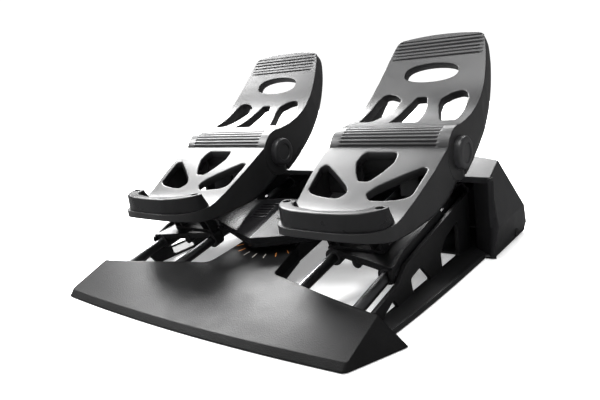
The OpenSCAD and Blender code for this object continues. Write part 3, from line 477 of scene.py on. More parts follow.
print("toe plates")
toePlate = {
    "tip": Vector((127, 119)),
    "front": [(0.39, 0.053), (0.618, 0.24)],
    "back": [(0.395, 0.153), (0.924, 0.507)],
    "samples": 60,
    "tipLean": (0.9, -0.45),
    "tipDeep": 7.0,
    "tilt": 38.0,
    "barrelLow": 182,
    "skirtLow": 291,
    "earX": 58.0,
    "halfWidths": [(-200, 70), (25, 70), (77, 70), (100, 68), (123, 64.4), (143, 60.6)],  # by face run
    "corner": (54.6, 166.5),
    "peak": 171.0,
    "window": [
        (58.1, 34.7), (58.5, 51.1), (57.1, 65.0), (56.0, 78.9), (51.8, 88.4), (44.8, 90.5),
        (34.3, 87.5), (25.2, 79.7), (26.6, 67.6), (31.9, 54.6), (37.1, 43.3), (42.0, 34.7),
    ],
    "middle": [(16.8, 31.2), (14.0, 53.7), (11.9, 65.9), (6.3, 83.2)],
    "windowCorner": 3.2,
    "middleCorner": 2.4,
    "slot": {"mid": 119.6, "half": 33.2, "high": 12.5, "square": 0.8},
    "wall": 3.0,
    "collar": 10.0,
    "rimRadius": 5.0,
    "windowRadius": 1.4,
    "ribs": {"angles": (90, 156), "count": 8, "wide": 1.55, "deep": 1.3, "half": 57.5, "end": 1.2},
    "grooves": {"fromTip": (9.5, 33.0), "count": 6, "wide": 1.1, "deep": 1.1, "half": 52.0, "end": 1.5},
    "column": 25,
    "rows": {"drum": 6, "fine": 0.7, "wide": 4, "ribEnd": -0.5, "plain": (3, 36), "grooved": (35, 7)},
    "skin": 0.4,
    "bendRun": 30.0,
    "hemWeld": 0.02,
}


def rotated(v, degrees):
    c, s = math.cos(math.radians(degrees)), math.sin(math.radians(degrees))
    return Vector((v.x * c - v.y * s, v.x * s + v.y * c))


def bowl(away, wide):
    return max(0.0, 1 - (away / wide) ** 2) ** 1.5


def toeOutline(toRun, arcRun, barrelRun):
    t = toePlate
    edge = [Vector((w, toRun(f) if f > 0 else -arcRun)) for f, w in t["halfWidths"]]
    corner = Vector((t["corner"][0], toRun(t["corner"][1])))
    peak = Vector((0, toRun(t["peak"]) * 2 - corner.y))
    top = [bezier([corner, peak, Vector((-corner.x, corner.y))], k / 16) for k in range(1, 16)]
    right = [Vector((t["earX"], barrelRun)), Vector((t["earX"], -arcRun)), *edge]
    right += [bezier([edge[-1].lerp(corner, 0.55), corner, top[0]], k / 4) for k in range(4)]
    return right + top + flipped(right)


def toeWindows(toRun):
    t, slot = toePlate, toePlate["slot"]
    window, middle = ([Vector((x, toRun(f))) for x, f in t[key]] for key in ("window", "middle"))
    hole = []
    for k in range(36):
        c, s = math.cos(k * math.pi / 18), math.sin(k * math.pi / 18)
        face = slot["mid"] + slot["high"] * math.copysign(abs(s) ** slot["square"], s)
        hole.append(Vector((slot["half"] * c, toRun(face))))
    return [softened(window, t["windowCorner"]), softened(flipped(window), t["windowCorner"]),
            softened(middle + flipped(middle), t["middleCorner"]), hole]


def toeDents(tipRun):
    # how deep the barrel's ribs and the tip's grooves are at a place on the face
    ribs, grooves = toePlate["ribs"], toePlate["grooves"]
    crest, radius = layout["crest"], layout["barrel"]
    ribMiddles = [-math.radians(a - crest) * radius for a in spread(ribs["angles"], ribs["count"])]
    grooveMiddles = [tipRun - d for d in spread(grooves["fromTip"], grooves["count"])]

    def dent(x, run):
        if abs(x) <= ribs["half"] - 1 and run < 0:
            return ribs["deep"] * max(bowl(run - m, ribs["wide"]) for m in ribMiddles)
        if abs(x) <= grooves["half"] and run > grooveMiddles[-1] - 4:
            return grooves["deep"] * max(bowl(run - m, grooves["wide"]) for m in grooveMiddles)
        return 0

    return dent


def sliceToePlate(bm, arcRun, barrelRun, tipRun):
    t, rows = toePlate, toePlate["rows"]
    marks = steps(-arcRun, barrelRun, rows["drum"])[1:-1] + steps(barrelRun, rows["ribEnd"], rows["fine"])
    marks += steps(rows["plain"][0], tipRun - rows["plain"][1], rows["wide"])
    marks += steps(tipRun - rows["grooved"][0], tipRun - rows["grooved"][1], rows["fine"])
    sliceAt(bm, 1, marks)
    ribs, grooves = t["ribs"], t["grooves"]
    columns = (ribs["half"], ribs["half"] - ribs["end"], grooves["half"] - grooves["end"], t["column"])
    sliceAt(bm, 0, [sign * x for sign in (-1, 1) for x in columns])


def buildToePlate(side):
    # the plate is cut flat, by its run along the profile, and then bent onto the profile
    t, hinge, crest, radius = toePlate, layout["hinge"], layout["crest"], layout["barrel"]
    fine = t["samples"]
    fronts = arch(polar(radius, crest), t["tip"], t["front"], fine)
    drum = [polar(radius, a) for a in steps(crest, t["skirtLow"], 3)][:0:-1]
    arcRun = math.radians(t["skirtLow"] - crest) * radius
    barrelRun = -math.radians(t["barrelLow"] - crest) * radius
    profile = Profile(drum + fronts, arcRun)
    tipRun = profile.runs[-1]
    backTip = t["tip"] + Vector(t["tipLean"]) * t["tipDeep"]
    backs = arch(polar(radius, t["skirtLow"]), backTip, t["back"], fine)
    tilted = [(rotated(p, -t["tilt"]).x, run) for p, run in zip(profile.points, profile.runs) if run >= 0]

    def toRun(faceRun):
        return lookUp(tilted, faceRun)

    bm = bmesh.new()
    rims = addSheet(bm, toeOutline(toRun, arcRun, barrelRun), toeWindows(toRun))
    outer = [e for e in rims[0] if not all(abs(v.co.x) < t["earX"] + slack["near"] for v in e.verts)
             or all(v.co.y > 0 for v in e.verts)]
    outer = [e for e in outer if not all(v.co.y < -arcRun + slack["near"] for v in e.verts)]
    lips = [e for rim in rims[1:] for e in rim]
    hem = t["rimRadius"] + 1
    dropEdges(bm, outer, hem)
    dropEdges(bm, lips, t["collar"])
    roundEdges(bm, outer, t["rimRadius"], 5)
    roundEdges(bm, [e for e in lips if e.is_valid], t["windowRadius"], 3)
    bmesh.ops.remove_doubles(bm, verts=bm.verts, dist=slack["weld"])
    sliceToePlate(bm, arcRun, barrelRun, tipRun)
    dent = toeDents(tipRun)
    flat = {v: v.co.copy() for v in bm.verts}
    for v, spot in flat.items():
        point, normal = profile.at(spot.y)
        deep = spot.z - (dent(spot.x, spot.y) if spot.z > -t["skin"] else 0)
        point = point + normal * deep + hinge
        v.co = (spot.x, point.x, point.y)
    chain = openEdge(bm, flat, hem)
    for share in (0.25, 0.5, 0.75, 1.0):
        if share > 0.5:
            chain = [e for e in chain if all(flat[v].y > -slack["near"] for v in e.verts)]
        fresh, chain = growRow(bm, chain, flat)
        for v in fresh:
            run = flat[v].y
            front, normal = profile.at(run)
            front = front - normal * hem
            if run < 0:
                point = front * (1 - share * 2)
            else:
                exact = run / tipRun * fine
                k = min(fine - 1, int(exact))
                back = backs[k].lerp(backs[k + 1], exact - k)
                bend = max(0.0, 1 - run / t["bendRun"]) * (1 - abs(2 * share - 1))
                point = front.lerp(back, share)
                point = point - (front + back) * 0.5 * bend
            v.co = (flat[v].x, point.x + hinge.x, point.y + hinge.y)
    bmesh.ops.remove_doubles(bm, verts=bm.verts, dist=t["hemWeld"])
    turnOut(bm, Vector((0, -0.6, 0.8)))
    addPedalPiece("toePlate", bm, side, "toe", "pedal_plastic", [f"toe_plate_{side}"], t["wall"])


for side in layout["sides"]:
    buildToePlate(side)

print("heel plates")
heelPlate = {
    "y": 81.0,
    "z": 83.0,
    "seam": 159,  # degrees round the hinge, from here to the tail, are the barrel's pocket
    "tail": 250,
    "pocket": 29.1,
    "curve": [(0.444, -0.076), (0.343, 0.093)],
    "low": [(81, 76), (94.5, 72.5), (111.3, 68.9), (126.2, 68.1), (143.3, 68.3), (162.1, 70.8),
            (183, 73), (211.9, 81.8), (233, 92.6)],
    "plan": [(0, 0), (26, 0.5), (40, 3.6), (49.5, 9.8), (56, 18.6), (60.4, 31), (62.7, 59), (64.2, 67),
             (66.6, 82.6), (69, 100.7), (70, 116.6)],
    "planCorner": 5,
    "rearHalf": 70,
    "window": [(58.7, 108.4), (61.7, 105.4), (60.1, 87.1), (59.1, 75.9), (54.7, 72.3), (47.2, 69.7),
               (31.6, 67.5), (17.5, 67), (10.8, 74.5), (17.2, 82.8), (26.9, 89.9), (41.5, 100.2),
               (54.8, 108.8)],
    "middle": [(6.3, 89), (14.7, 100.2), (21.7, 114), (20.3, 124), (17.5, 128.5)],
    "windowCorner": 3.2,
    "wall": 3.0,
    "collar": 8.0,
    "rimRadius": 2.6,
    "windowRadius": 1.4,
    "rearRadius": 0.8,
    "columns": [-45, -22, 0, 22, 45],
    "leanFrom": 150,
    "pullFrom": 172,
}


def heelTop():
    h = heelPlate
    drum = layout["hinge"] + polar(h["pocket"], h["seam"])
    return [tuple(p) for p in arch(Vector((h["y"], h["z"])), drum, h["curve"], 40)]


topLine = heelTop()


def buildHeelPlate(side):
    h = heelPlate
    rearY, rearZ = topLine[-1]
    half = placed(h["plan"], h["y"])
    half = [half[0], *softened(half, h["planCorner"], 3)[4:-4], Vector((h["rearHalf"], rearY))]
    window, middle = placed(h["window"], h["y"]), placed(h["middle"], h["y"])
    holes = (window, flipped(window), middle + flipped(middle))
    windows = [softened(points, h["windowCorner"]) for points in holes]
    bm = bmesh.new()
    rims = addSheet(bm, half + flipped(half[1:]), windows)
    rear = [e for e in rims[0] if all(v.co.y > rearY - slack["near"] for v in e.verts)]
    sides = [e for e in rims[0] if e not in rear]
    lips = [e for rim in rims[1:] for e in rim]
    hem = h["rimRadius"] + 1
    dropEdges(bm, rims[0], hem)
    dropEdges(bm, lips, h["collar"])
    roundEdges(bm, sides, h["rimRadius"], 4)
    roundEdges(bm, [e for e in lips if e.is_valid], h["windowRadius"], 3)
    roundEdges(bm, [e for e in rear if e.is_valid], h["rearRadius"], 2)
    bmesh.ops.remove_doubles(bm, verts=bm.verts, dist=slack["weld"])
    sliceAt(bm, 1, steps(h["y"] + 3, rearY - 1.5, 4))
    sliceAt(bm, 0, h["columns"])
    flat = {v: v.co.copy() for v in bm.verts}
    for v, spot in flat.items():
        v.co = (spot.x, spot.y, lookUp(topLine, spot.y) + spot.z)
    lastY = h["low"][-1][0]
    chain = openEdge(bm, flat, hem)
    for share in steps(0.1, 1, 0.1):
        fresh, chain = growRow(bm, chain, flat)
        for v in fresh:
            x, y = flat[v].x, flat[v].y
            lean = max(0, (y - h["leanFrom"]) / (rearY - h["leanFrom"]))
            top = Vector((y, lookUp(topLine, y) - hem))
            lowY = y + lean * (lastY - rearY)
            foot = Vector((lowY, lookUp(h["low"], lowY)))
            cradle = layout["hinge"] + polar(h["pocket"], h["seam"] + (h["tail"] - h["seam"]) * share)
            rearPoint = Vector((rearY, rearZ - hem)).lerp(Vector((lastY, lookUp(h["low"], lastY))), share)
            pull = max(0, (y - h["pullFrom"]) / (rearY - h["pullFrom"])) ** 2
            point = top.lerp(foot, share) + (cradle - rearPoint) * pull
            v.co = (x, point.x, point.y)
    turnOut(bm, Vector((0, -0.3, 0.95)))
    addPedalPiece("heelPlate", bm, side, "slide", "pedal_plastic", [f"heel_plate_{side}"], h["wall"])


def addSlab(bm, points, start, end, radius):
    # a plate cut to a side view, standing across the pedal
    before = set(bm.verts)
    verts = [bm.verts.new((start, p.x, p.y)) for p in points]
    face = bm.faces.new(verts)
    grown = bmesh.ops.extrude_face_region(bm, geom=[face])["geom"]
    bmesh.ops.translate(bm, verts=pointsOf(grown), vec=(end - start, 0, 0))
    fresh = [v for v in bm.verts if v not in before]
    edges = [e for e in bm.edges if all(v in fresh for v in e.verts)
             and abs(e.verts[0].co.x - e.verts[1].co.x) < slack["same"]]
    bmesh.ops.recalc_face_normals(bm, faces=list({f for v in fresh for f in v.link_faces}))
    if radius:
        roundEdges(bm, edges, radius, 2)


heelLug = {
    "x": 45.0,
    "radius": 11.0,
    "half": 3.0,
    "front": 203,
    "drops": (8.8, 30.8),  # where the straight front edge lies under the hinge
    "webs": ((-66, -22), (22, 66)),
    "webLow": [(203, 84), (206, 85)],
    "webTop": 2.6,
}


def buildHeelLugs(side):
    g, hinge = heelLug, layout["hinge"]
    bm = bmesh.new()
    lug = [polar(g["radius"], a) + hinge for a in range(-90, 181, 15)]
    lug += [Vector((g["front"], hinge.y - drop)) for drop in g["drops"]]
    for x in (-g["x"], g["x"]):
        addSlab(bm, lug, x - g["half"], x + g["half"], 0.5)
    low = [Vector(p) for p in g["webLow"]]
    wallTop = lookUp(topLine, g["front"] + 1) - g["webTop"]
    web = [*low, Vector((low[1].x, wallTop + 1)), Vector((low[0].x, wallTop))]
    for start, end in g["webs"]:
        addSlab(bm, web, start, end, 0)
    addPedalPiece("heelLugs", bm, side, "slide", "pedal_plastic", [f"heel_plate_{side}"])


print("heel stops")
heelStop = {
    "top": 100.0,
    "outer": [(0, 1.6), (27, 3.4), (42.5, 8.6), (52.6, 17.8), (58.6, 28.5), (58.4, 36.4)],
    "inner": [(43.4, 36.4), (42, 27), (32.2, 17.5), (0, 10.1)],
    "endSlope": 9.0,  # the arms end in a slope down to the plate
    "endRun": 8.0,
    "sink": 1.2,
    "screw": (51.4, 30.0),
    "pocket": 4.3,
    "pocketDeep": 4.4,
    "pocketRadius": 0.4,
    "head": (3.3, 2.2, 2.0),  # radius, height, how far under the top
    "headRadius": 0.4,
    "shank": (0.5, 6.4, 3.0),  # share of the head's radius, length, how far under the head its middle is
    "socket": (0.42, 0.5),  # shares of the head: its rim, its depth
    "rimRadius": 1.8,
    "corner": 5.0,
}


def buildHeelStop(side):
    s, h = heelStop, heelPlate
    outer, inner = placed(s["outer"], h["y"]), placed(s["inner"], h["y"])
    half = softened(outer + inner, s["corner"], 5)[6:-6]
    outline = [outer[0], *half, inner[-1], *flipped(half)]
    pockets = []
    for sign in (-1, 1):
        middle = Vector((sign * s["screw"][0], h["y"] + s["screw"][1]))
        pockets.append([middle + polar(s["pocket"], a) for a in range(0, 360, 15)])
    bm = bmesh.new()
    rims = addSheet(bm, outline, pockets)
    dropEdges(bm, rims[0], s["top"])
    for rim in rims[1:]:
        bmesh.ops.contextual_create(bm, geom=dropEdges(bm, rim, s["pocketDeep"]))
    roundEdges(bm, rims[0], s["rimRadius"], 4)
    roundEdges(bm, [e for rim in rims[1:] for e in rim if e.is_valid], s["pocketRadius"], 2)
    armEnd = h["y"] + s["outer"][-1][1]
    for v in bm.verts:
        if v.co.z < -s["top"] / 2:
            v.co.y += s["endSlope"] * min(max((v.co.y - armEnd + s["endRun"]) / s["endRun"], 0), 1)
            v.co.z = lookUp(topLine, v.co.y) - s["sink"]
        else:
            v.co.z += s["top"]
    turnOut(bm, Vector((0, 0, 1)))
    addPedalPiece("heelStop", bm, side, "slide", "stop_plastic", [f"heel_stop_{side}"])


def addBar(bm, place, radius, length, segments):
    return bmesh.ops.create_cone(bm, cap_ends=True, segments=segments, radius1=radius, radius2=radius,
                                 depth=length, matrix=place)["verts"]


def buildStopScrews(side):
    s = heelStop
    radius, head, low = s["head"]
    rimShare, deepShare = s["socket"]
    thin, shankLong, under = s["shank"]
    bm = bmesh.new()
    for sign in (-1, 1):
        x, y = sign * s["screw"][0], heelPlate["y"] + s["screw"][1]
        made = addBar(bm, Matrix.Translation((x, y, s["top"] - low - head / 2)), radius, head, 24)
        lid = max({f for v in made for f in v.link_faces}, key=lambda f: f.calc_center_median().z)
        rim = list(lid.edges)
        bmesh.ops.inset_individual(bm, faces=[lid], thickness=radius * rimShare)
        socket = bmesh.ops.extrude_discrete_faces(bm, faces=[lid])["faces"]
        bmesh.ops.translate(bm, verts=socket[0].verts, vec=(0, 0, -head * deepShare))
        roundEdges(bm, rim, s["headRadius"], 2)
        addBar(bm, Matrix.Translation((x, y, s["top"] - low - head - under)), radius * thin, shankLong, 16)
    bmesh.ops.remove_doubles(bm, verts=bm.verts, dist=slack["weld"])
    bmesh.ops.recalc_face_normals(bm, faces=bm.faces)
    screws = [f"stop_screw_{side}_left", f"stop_screw_{side}_right"]
    addPedalPiece("stopScrews", bm, side, "slide", "fastener_steel", screws, sharp=35)


for side in layout["sides"]:
    buildHeelPlate(side)
    buildHeelLugs(side)
    buildHeelStop(side)
    buildStopScrews(side)


print("heel board")
heelBoard = {
    "half": 188.0,
    "lip": 8.0,
    "lean": 5.3,
    "sweep": 8.0,
    "heights": (28.5, 25.5),
    "depths": (100.0, 62.0),
    "rearLine": [(0, 1), (0.26, 0.95), (0.49, 0.59), (0.63, 0.39), (0.8, 0.19), (1, 0)],
    "rearBlend": 14,
    "near": (188.0, 8.0),
    "far": (212.5, 64.6),
    "footShares": [(0, 0.02), (0.5, 0.435), (1, 1)],
    "tongue": [(47.6, 97.6), (37.7, 152.0)],
    "tongueRise": 0.2,  # over the spine, as a skin
    "spineHigh": 3.2,
    "tongueBlend": (84, 30),
    "tongueDeep": 18.2,
    "tongueEdge": {"half": 56, "from": 99, "run": 5},
    "fillet": 7.0,
    "corner": 3.0,
    "rearCorner": 1.6,
    "lipRadius": 2.4,
    "rearRadius": 1.0,
    "hem": 3.4,
    "floor": 1.0,
    "foot": 1.2,  # the last of the wall stands upright
    "wall": 3.0,
    "edgeX": (58, 6),  # the rear line starts here, and both lines stop this far from the end
    "sideY": 40,
    "columns": (-180, 180, 12),
    "rows": (20, 148, 8),
}
railSlope = math.tan(layout["railTilt"])


def boardFront(x):
    return heelBoard["sweep"] * (x / heelBoard["half"]) ** 2


def boardRear(x):
    b = heelBoard
    blend = b["rearBlend"]
    spots = steps(-blend, blend, blend / 2)
    near = [lookUp(b["rearLine"], min(1.0, abs(abs(x) + d) / b["half"])) for d in spots]
    share = sum(near) / 5 if abs(x) < b["half"] - blend else near[2]
    return b["depths"][1] + (b["depths"][0] - b["depths"][1]) * share


def boardTop(x, y):
    b = heelBoard
    high = b["heights"][0] - (b["heights"][0] - b["heights"][1]) * (x / b["half"]) ** 2
    start = boardFront(x) + b["lean"]
    rise = b["lip"] + (high - b["lip"]) * (y - start) / (boardRear(x) - start)
    skin = (b["spineHigh"] + b["tongueRise"]) / math.cos(layout["railTilt"])
    tongue = layout["railFloor"] + y * railSlope + skin
    share = min(max((y - b["tongueBlend"][0]) / b["tongueBlend"][1], 0), 1)
    share = share * share * (3 - 2 * share)
    return rise + (tongue - rise) * share


def turned(before, at, after, radius, count=5):
    back, on = (before - at).normalized() * radius, (after - at).normalized() * radius
    return [bezier([at + back, at, at + on], n / count) for n in range(count + 1)]


def boardDrift(x, y):
    # how far the wall under an edge leans out for each millimetre down
    b = heelBoard
    middle = (boardFront(x) + boardRear(x)) / 2
    plain = Vector((0, -b["lean"] / (b["lip"] - b["floor"] - b["foot"]) if y < middle else 0))
    start = b["near"][1] + b["lean"]
    run = min(max((y - start) / (b["depths"][1] - start), 0), 1)
    share = lookUp(b["footShares"], run)
    foot = Vector(b["near"]).lerp(Vector(b["far"]), share)
    ridge = Vector((b["half"], start + (b["depths"][1] - start) * run))
    ended = (foot - ridge) / (b["lip"] + (b["heights"][1] - b["lip"]) * run - b["floor"] - b["foot"])
    if x < 0:
        ended.x = -ended.x
    return plain.lerp(ended, min(max((abs(x) - b["half"] + 2) / 1.6, 0), 1))


def boardOutline():
    b = heelBoard
    side, (rearStart, margin) = b["half"], b["edgeX"]
    front = [Vector((x, boardFront(x) + b["lean"])) for x in steps(0, side - margin, 9)]
    rear = [Vector((x, boardRear(x))) for x in steps(rearStart, side - margin, 8)][::-1]
    root, end = (Vector(p) for p in b["tongue"])
    middle = Vector((side, b["sideY"]))
    half = front + turned(front[-1], Vector((side, boardFront(side) + b["lean"])), middle, b["corner"])
    half += turned(middle, Vector((side, b["depths"][1])), rear[0], b["rearCorner"]) + rear
    half += turned(rear[-1], root, end, b["fillet"]) + [root.lerp(end, 0.4), root.lerp(end, 0.7), end]
    return half + flipped(half[1:])


def buildHeelBoard():
    b = heelBoard
    edge, tongueEnd = b["tongueEdge"], b["tongue"][1][1]
    bm = bmesh.new()
    rim = addSheet(bm, boardOutline(), [])[0]
    rim = [e for e in rim if not all(v.co.y > tongueEnd - slack["near"] for v in e.verts)]
    outer = [e for e in rim if sum(v.co.y for v in e.verts) < b["sideY"] * 2
             or sum(abs(v.co.x) for v in e.verts) > 2 * b["half"] - 4]
    inner = [e for e in rim if e not in outer]
    dropEdges(bm, rim, b["hem"])
    roundEdges(bm, outer, b["lipRadius"], 4)
    roundEdges(bm, [e for e in inner if e.is_valid], b["rearRadius"], 3)
    bmesh.ops.remove_doubles(bm, verts=bm.verts, dist=slack["weld"])
    sliceAt(bm, 0, steps(*b["columns"]))
    sliceAt(bm, 1, steps(*b["rows"]))
    flat = {v: v.co.copy() for v in bm.verts}
    for v, spot in flat.items():
        drift = boardDrift(spot.x, spot.y) * -spot.z
        v.co = (spot.x + drift.x, spot.y + drift.y, boardTop(spot.x, spot.y) + spot.z)
    chain = openEdge(bm, flat, b["hem"])
    for share, foot in ((0.5, 0), (1, 0), (1, b["foot"])):
        fresh, chain = growRow(bm, chain, flat)
        for v in fresh:
            x, y = flat[v].x, flat[v].y
            top = boardTop(x, y)
            full = top - b["floor"] - b["foot"]
            if abs(x) < edge["half"]:
                full += (b["tongueDeep"] - full) * min(max((y - edge["from"]) / edge["run"], 0), 1)
            deep = b["hem"] + (full - b["hem"]) * share
            drift = boardDrift(x, y) * deep
            v.co = (x + drift.x, y + drift.y, top - deep - foot)
    turnOut(bm, Vector((0, -0.2, 0.98)))
    addPiece("heelBoard", bm, "base", "board_plastic", ["heel_board"], b["wall"], 40)


boardRibs = {
    "places": [-124.6, -62.3, 0, 62.3, 124.6],
    "half": 1.5,
    "front": 6.0,
    "rear": 2.5,
    "lift": 0.3,
    "under": 2.4,
    "socket": (7.4, 5.6, 11.0),  # radius, bore, depth
    "boss": {"x": 140.0, "y": 38.0, "radius": 13.0, "middle": 10, "high": 14},
    "clear": 1.6,
}


def buildBoardRibs():
    # what stands under the board: ribs, sockets for the rails and bosses for the feet
    r, low = boardRibs, heelBoard["floor"] + boardRibs["lift"]
    bm = bmesh.new()
    for x in r["places"]:
        start, end = boardFront(x) + r["front"], boardRear(x) - r["rear"]
        line = [Vector((start, low)), Vector((end, low))]
        line += [Vector((y, boardTop(x, y) - r["under"])) for y in (end, start + 2)]
        addSlab(bm, line, x - r["half"], x + r["half"], 0)
    wide, bore, deep = r["socket"]
    tilt = Matrix.Rotation(math.radians(90) + layout["railTilt"], 4, "X")
    for x in [-x for x in reversed(layout["rails"])] + layout["rails"]:
        y = boardRear(x) - r["rear"]
        place = Matrix.Translation((x, y, layout["railFloor"] + y * railSlope)) @ tilt
        before = set(bm.verts)
        for radius in (wide, bore):
            bmesh.ops.create_circle(bm, segments=28, radius=radius, matrix=place)
        fresh = set(bm.verts) - before
        ring = bmesh.ops.bridge_loops(bm, edges=[e for e in bm.edges if set(e.verts) <= fresh])["faces"]
        grown = bmesh.ops.extrude_face_region(bm, geom=ring)["geom"]
        way = place.to_3x3() @ Vector((0, 0, deep))
        bmesh.ops.translate(bm, verts=pointsOf(grown), vec=way)
    boss = r["boss"]
    for sign in (-1, 1):
        place = Matrix.Translation((sign * boss["x"], boss["y"], boss["middle"]))
        addBar(bm, place, boss["radius"], boss["high"], 36)
    for v in bm.verts:
        v.co.z = min(v.co.z, boardTop(v.co.x, v.co.y) - r["clear"])
    turnOut(bm, Vector((0, 0, -1)))
    bmesh.ops.recalc_face_normals(bm, faces=bm.faces)
    addPiece("heelBoardRibs", bm, "base", "board_plastic", ["heel_board"], 0, 35)


buildHeelBoard()
buildBoardRibs()

print("tick marks")
ticks = {
    "pivot": 173.0,
    "radii": (42.5, 51.0),
    "degrees": [-48, -32, -16, 0, 16, 32, 48],  # the outer two at either end are orange
    "wide": 0.62,
    "high": 0.25,
    "sunk": 0.05,
    "rounding": 0.3,
    "orange": (0.60, 0.22, 0.05),
    "white": (0.5, 0.48, 0.44),
}


def inkFinish(name, colour):
    wiring = Wiring(name)
    coords = wiring.add("ShaderNodeTexCoord").outputs["Object"]
    worn = wiring.add("ShaderNodeTexNoise", Scale=900.0, Detail=3.0)
    wiring.link(coords, worn.inputs["Vector"])
    wiring.tinted(colour, wiring.ramp(worn.outputs["Fac"], 0.82, 1.05))
    wiring.link(wiring.ramp(worn.outputs["Fac"], 0.42, 0.55), wiring.shader.inputs["Roughness"])
    return wiring.material


def buildTicks():
    t = ticks
    bm = bmesh.new()
    tilt = Matrix.Rotation(layout["railTilt"], 4, "X")
    start = Matrix.Translation((0, 0, layout["railFloor"]))
    middle = sum(t["radii"]) / 2
    high = heelBoard["spineHigh"] + heelBoard["tongueRise"] + t["high"] / 2 - t["sunk"]
    for number, degrees in enumerate(t["degrees"]):
        way = Matrix.Rotation(math.radians(degrees), 4, "Z")
        spot = Matrix.Translation((0, t["pivot"], high)) @ way @ Matrix.Translation((0, -middle, 0))
        size = Matrix.Diagonal((t["wide"], t["radii"][1] - t["radii"][0], t["high"], 1))
        made = bmesh.ops.create_cube(bm, size=1, matrix=start @ tilt @ spot @ size)["verts"]
        outer = number < 2 or number > 4
        for face in {f for v in made for f in v.link_faces}:
            face.material_index = 0 if outer else 1
    roundEdges(bm, [e for e in bm.edges if e.calc_length() < t["wide"] / 2], t["rounding"], 2)
    piece = addPiece("tongueTicks", bm, "base", "board_plastic", (), 0, 40)
    piece.data.materials[0] = inkFinish("orangeInk", t["orange"])
    piece.data.materials.append(inkFinish("whiteInk", t["white"]))


buildTicks()

print("rear housing")
housing = {
    "y": 267.0,
    "depth": 107.0,
    "high": 101.0,
    "drop": 12.0,
    "topHalf": 207.0,
    "beltHalf": 215.0,
    "footIn": 7.0,
    "belt": 38.0,
    "low": 10.0,
    "toeIn": 12.0,
    "topIn": 36.0,
    "bow": 38.0,
    "frontBow": 8.0,
    "frontLean": 2.0,
    "bay": 183.0,
    "flare": (205.0, 18.0),
    "doorHigh": 83.0,
    "doorDeep": 12.0,
    "floor": 1.0,
    "radius": 2.6,
    "wall": 3.5,
    "rings": 16,
    "crisp": 0.16,  # an edge that turns by more, in radians, is rounded
}


def housingBack(x, z):
    h = housing
    rear = h["y"] + h["depth"]
    topRear = rear - h["topIn"] - h["bow"] * (x / h["topHalf"]) ** 4
    return rear + (topRear - rear) * max(0.0, (z - h["low"]) / (h["high"] - h["low"]))


def housingRing(share):
    h = housing
    x = share * h["topHalf"]
    rear = h["y"] + h["depth"]
    front = h["y"] + h["frontLean"] + h["frontBow"] * (1 - share * share)
    ring = []
    for y, z in [(h["y"], h["floor"]), (rear - h["toeIn"], h["floor"]), (rear, h["low"]),
                 (housingBack(x, h["belt"]), h["belt"]), (housingBack(x, h["high"]), h["high"]),
                 (front, h["high"] - h["drop"]), (h["y"], h["belt"])]:
        if z < h["belt"]:
            half = h["beltHalf"] - h["footIn"] * (h["belt"] - z) / (h["belt"] - h["floor"])
        else:
            rise = (z - h["belt"]) / (h["high"] - h["drop"] - h["belt"])
            half = h["beltHalf"] - (h["beltHalf"] - h["topHalf"]) * rise
        ring.append(Vector((share * half, y, z)))
    return ring


def buildHousing():
    h = housing
    bm = bmesh.new()
    shares = [math.sin(math.pi / 2 * k / h["rings"]) for k in range(-h["rings"], h["rings"] + 1)]
    verts = [bm.verts.new(p) for p in housingRing(shares[0])]
    chain = [bm.edges.new(pair) for pair in zip(verts, verts[1:] + verts[:1])]
    ends = [chain]
    for share in shares[1:]:
        places = housingRing(share)
        grown = bmesh.ops.extrude_edge_only(bm, edges=chain)["geom"]
        fresh = set(pointsOf(grown))
        nextVerts = [next(e.other_vert(v) for e in v.link_edges if e.other_vert(v) in fresh) for v in verts]
        for v, place in zip(nextVerts, places):
            v.co = place
        verts = nextVerts
        chain = edgesAmong(grown, fresh)
    ends.append(chain)
    for rim in ends:
        face = bmesh.ops.contextual_create(bm, geom=rim)["faces"][0]
        level = [v for v in face.verts if abs(v.co.z - h["belt"]) < slack["near"]]
        corners = sorted(level, key=lambda v: v.co.y)
        bmesh.ops.connect_verts(bm, verts=[corners[0], corners[-1]])
    bmesh.ops.recalc_face_normals(bm, faces=bm.faces)
    crisp = [e for e in bm.edges
             if e.calc_face_angle(0) > h["crisp"] and max(v.co.z for v in e.verts) > h["low"] / 2]
    roundEdges(bm, crisp, h["radius"], 4)
    for v in bm.verts:
        v.co.x = min(max(v.co.x, -h["beltHalf"]), h["beltHalf"])
        v.co.y = min(v.co.y, h["y"] + h["depth"])
    # the right half again, turned over, so that both ends are alike
    whole = [*bm.verts, *bm.edges, *bm.faces]
    bmesh.ops.bisect_plane(bm, geom=whole, plane_co=(0, 0, 0), plane_no=(-1, 0, 0), clear_outer=True)
    bmesh.ops.mirror(bm, geom=[*bm.verts, *bm.edges, *bm.faces], axis="X", merge_dist=slack["same"])
    bmesh.ops.remove_doubles(bm, verts=bm.verts, dist=slack["same"])
    bmesh.ops.recalc_face_normals(bm, faces=bm.faces)
    sliceAt(bm, 0, [-h["flare"][0], h["flare"][0], -h["bay"], h["bay"]])
    sliceAt(bm, 2, [h["doorHigh"]])
    doors = []
    for face in bm.faces:
        middle = face.calc_center_median()
        inDoor = middle.z < h["doorHigh"] and abs(middle.x) < h["flare"][0]
        inFront = inDoor and middle.y < h["y"] + h["doorDeep"]
        under = middle.z < h["floor"] + slack["near"] and abs(middle.x) < h["bay"]
        if (inFront and abs(face.normal.y) > 0.5) or under:
            doors.append(face)
    bmesh.ops.delete(bm, geom=doors, context="FACES")
    addPiece("rearHousing", bm, "base", "housing_plastic", ["rear_housing"], h["wall"], 32)


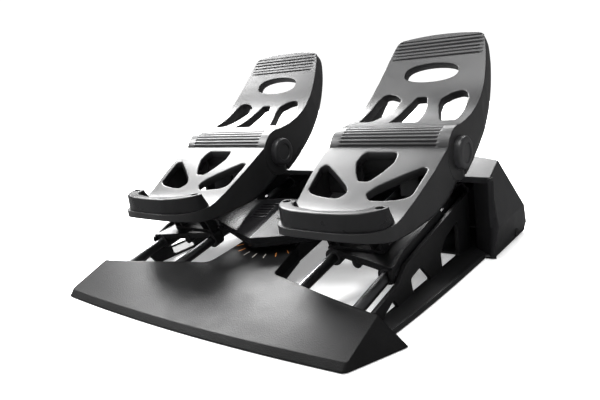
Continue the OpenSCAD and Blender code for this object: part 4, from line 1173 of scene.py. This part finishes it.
housingInside = {
    "rear": 98.0,
    "base": 1.2,
    "high": 98.0,
    "step": (0.4, 6.0),  # the flare's front edge reaches this far back and out, behind the shell's rim
    "under": 2.4,
    "behind": 2.0,
    "nest": {"radius": 8.2, "start": 312.0, "ends": (348.0, 338.0), "rounding": 0.5},
}


def buildHousingInside():
    h, g = housing, housingInside
    bm = bmesh.new()
    wide, deep = h["flare"]
    back, out = g["step"]
    inner, outer, y = h["bay"], h["bay"] + h["wall"], h["y"]
    line = [(inner, y + g["rear"]), (inner, y + deep), (wide, y + back), (wide + out, y + back),
            (outer, y + deep + 1), (outer, y + g["rear"])]
    for sign in (-1, 1):
        face = bm.faces.new([bm.verts.new((sign * x, y, g["base"])) for x, y in line])
        grown = bmesh.ops.extrude_face_region(bm, geom=[face])["geom"]
        bmesh.ops.translate(bm, verts=pointsOf(grown), vec=(0, 0, g["high"]))
    for v in bm.verts:
        slope = h["drop"] * (v.co.y - h["y"]) / (h["depth"] - h["topIn"])
        if v.co.z > g["high"] / 2:
            v.co.z = min(v.co.z, h["high"] - h["drop"] + slope - g["under"])
        v.co.y = min(v.co.y, housingBack(v.co.x, v.co.z) - g["behind"])
    nest, tilt = g["nest"], layout["railTilt"]
    facet = nest["radius"] * math.tau / 32
    for sign in (-1, 1):
        for x, end in reversed([*zip(layout["rails"], nest["ends"])]):
            half = (nest["start"] + end) / 2
            y, z = math.cos(tilt) * half, layout["railFloor"] + math.sin(tilt) * half
            place = Matrix.Translation((sign * x, y, z)) @ Matrix.Rotation(math.radians(-90) + tilt, 4, "X")
            made = addBar(bm, place, nest["radius"], end - nest["start"], 32)
            rims = {e for v in made for e in v.link_edges if abs(e.calc_length() - facet) < slack["near"] * 2}
            roundEdges(bm, list(rims), nest["rounding"], 2)
    bmesh.ops.recalc_face_normals(bm, faces=bm.faces)
    addPiece("housingInside", bm, "base", "housing_plastic", ["rear_housing"], 0, 35)


buildHousing()
buildHousingInside()

print("carried-over solids")
for name, node in frame["nodes"].items():
    node.data.materials.clear()
    node.data.materials.append(materialOf[slotOf[name]])
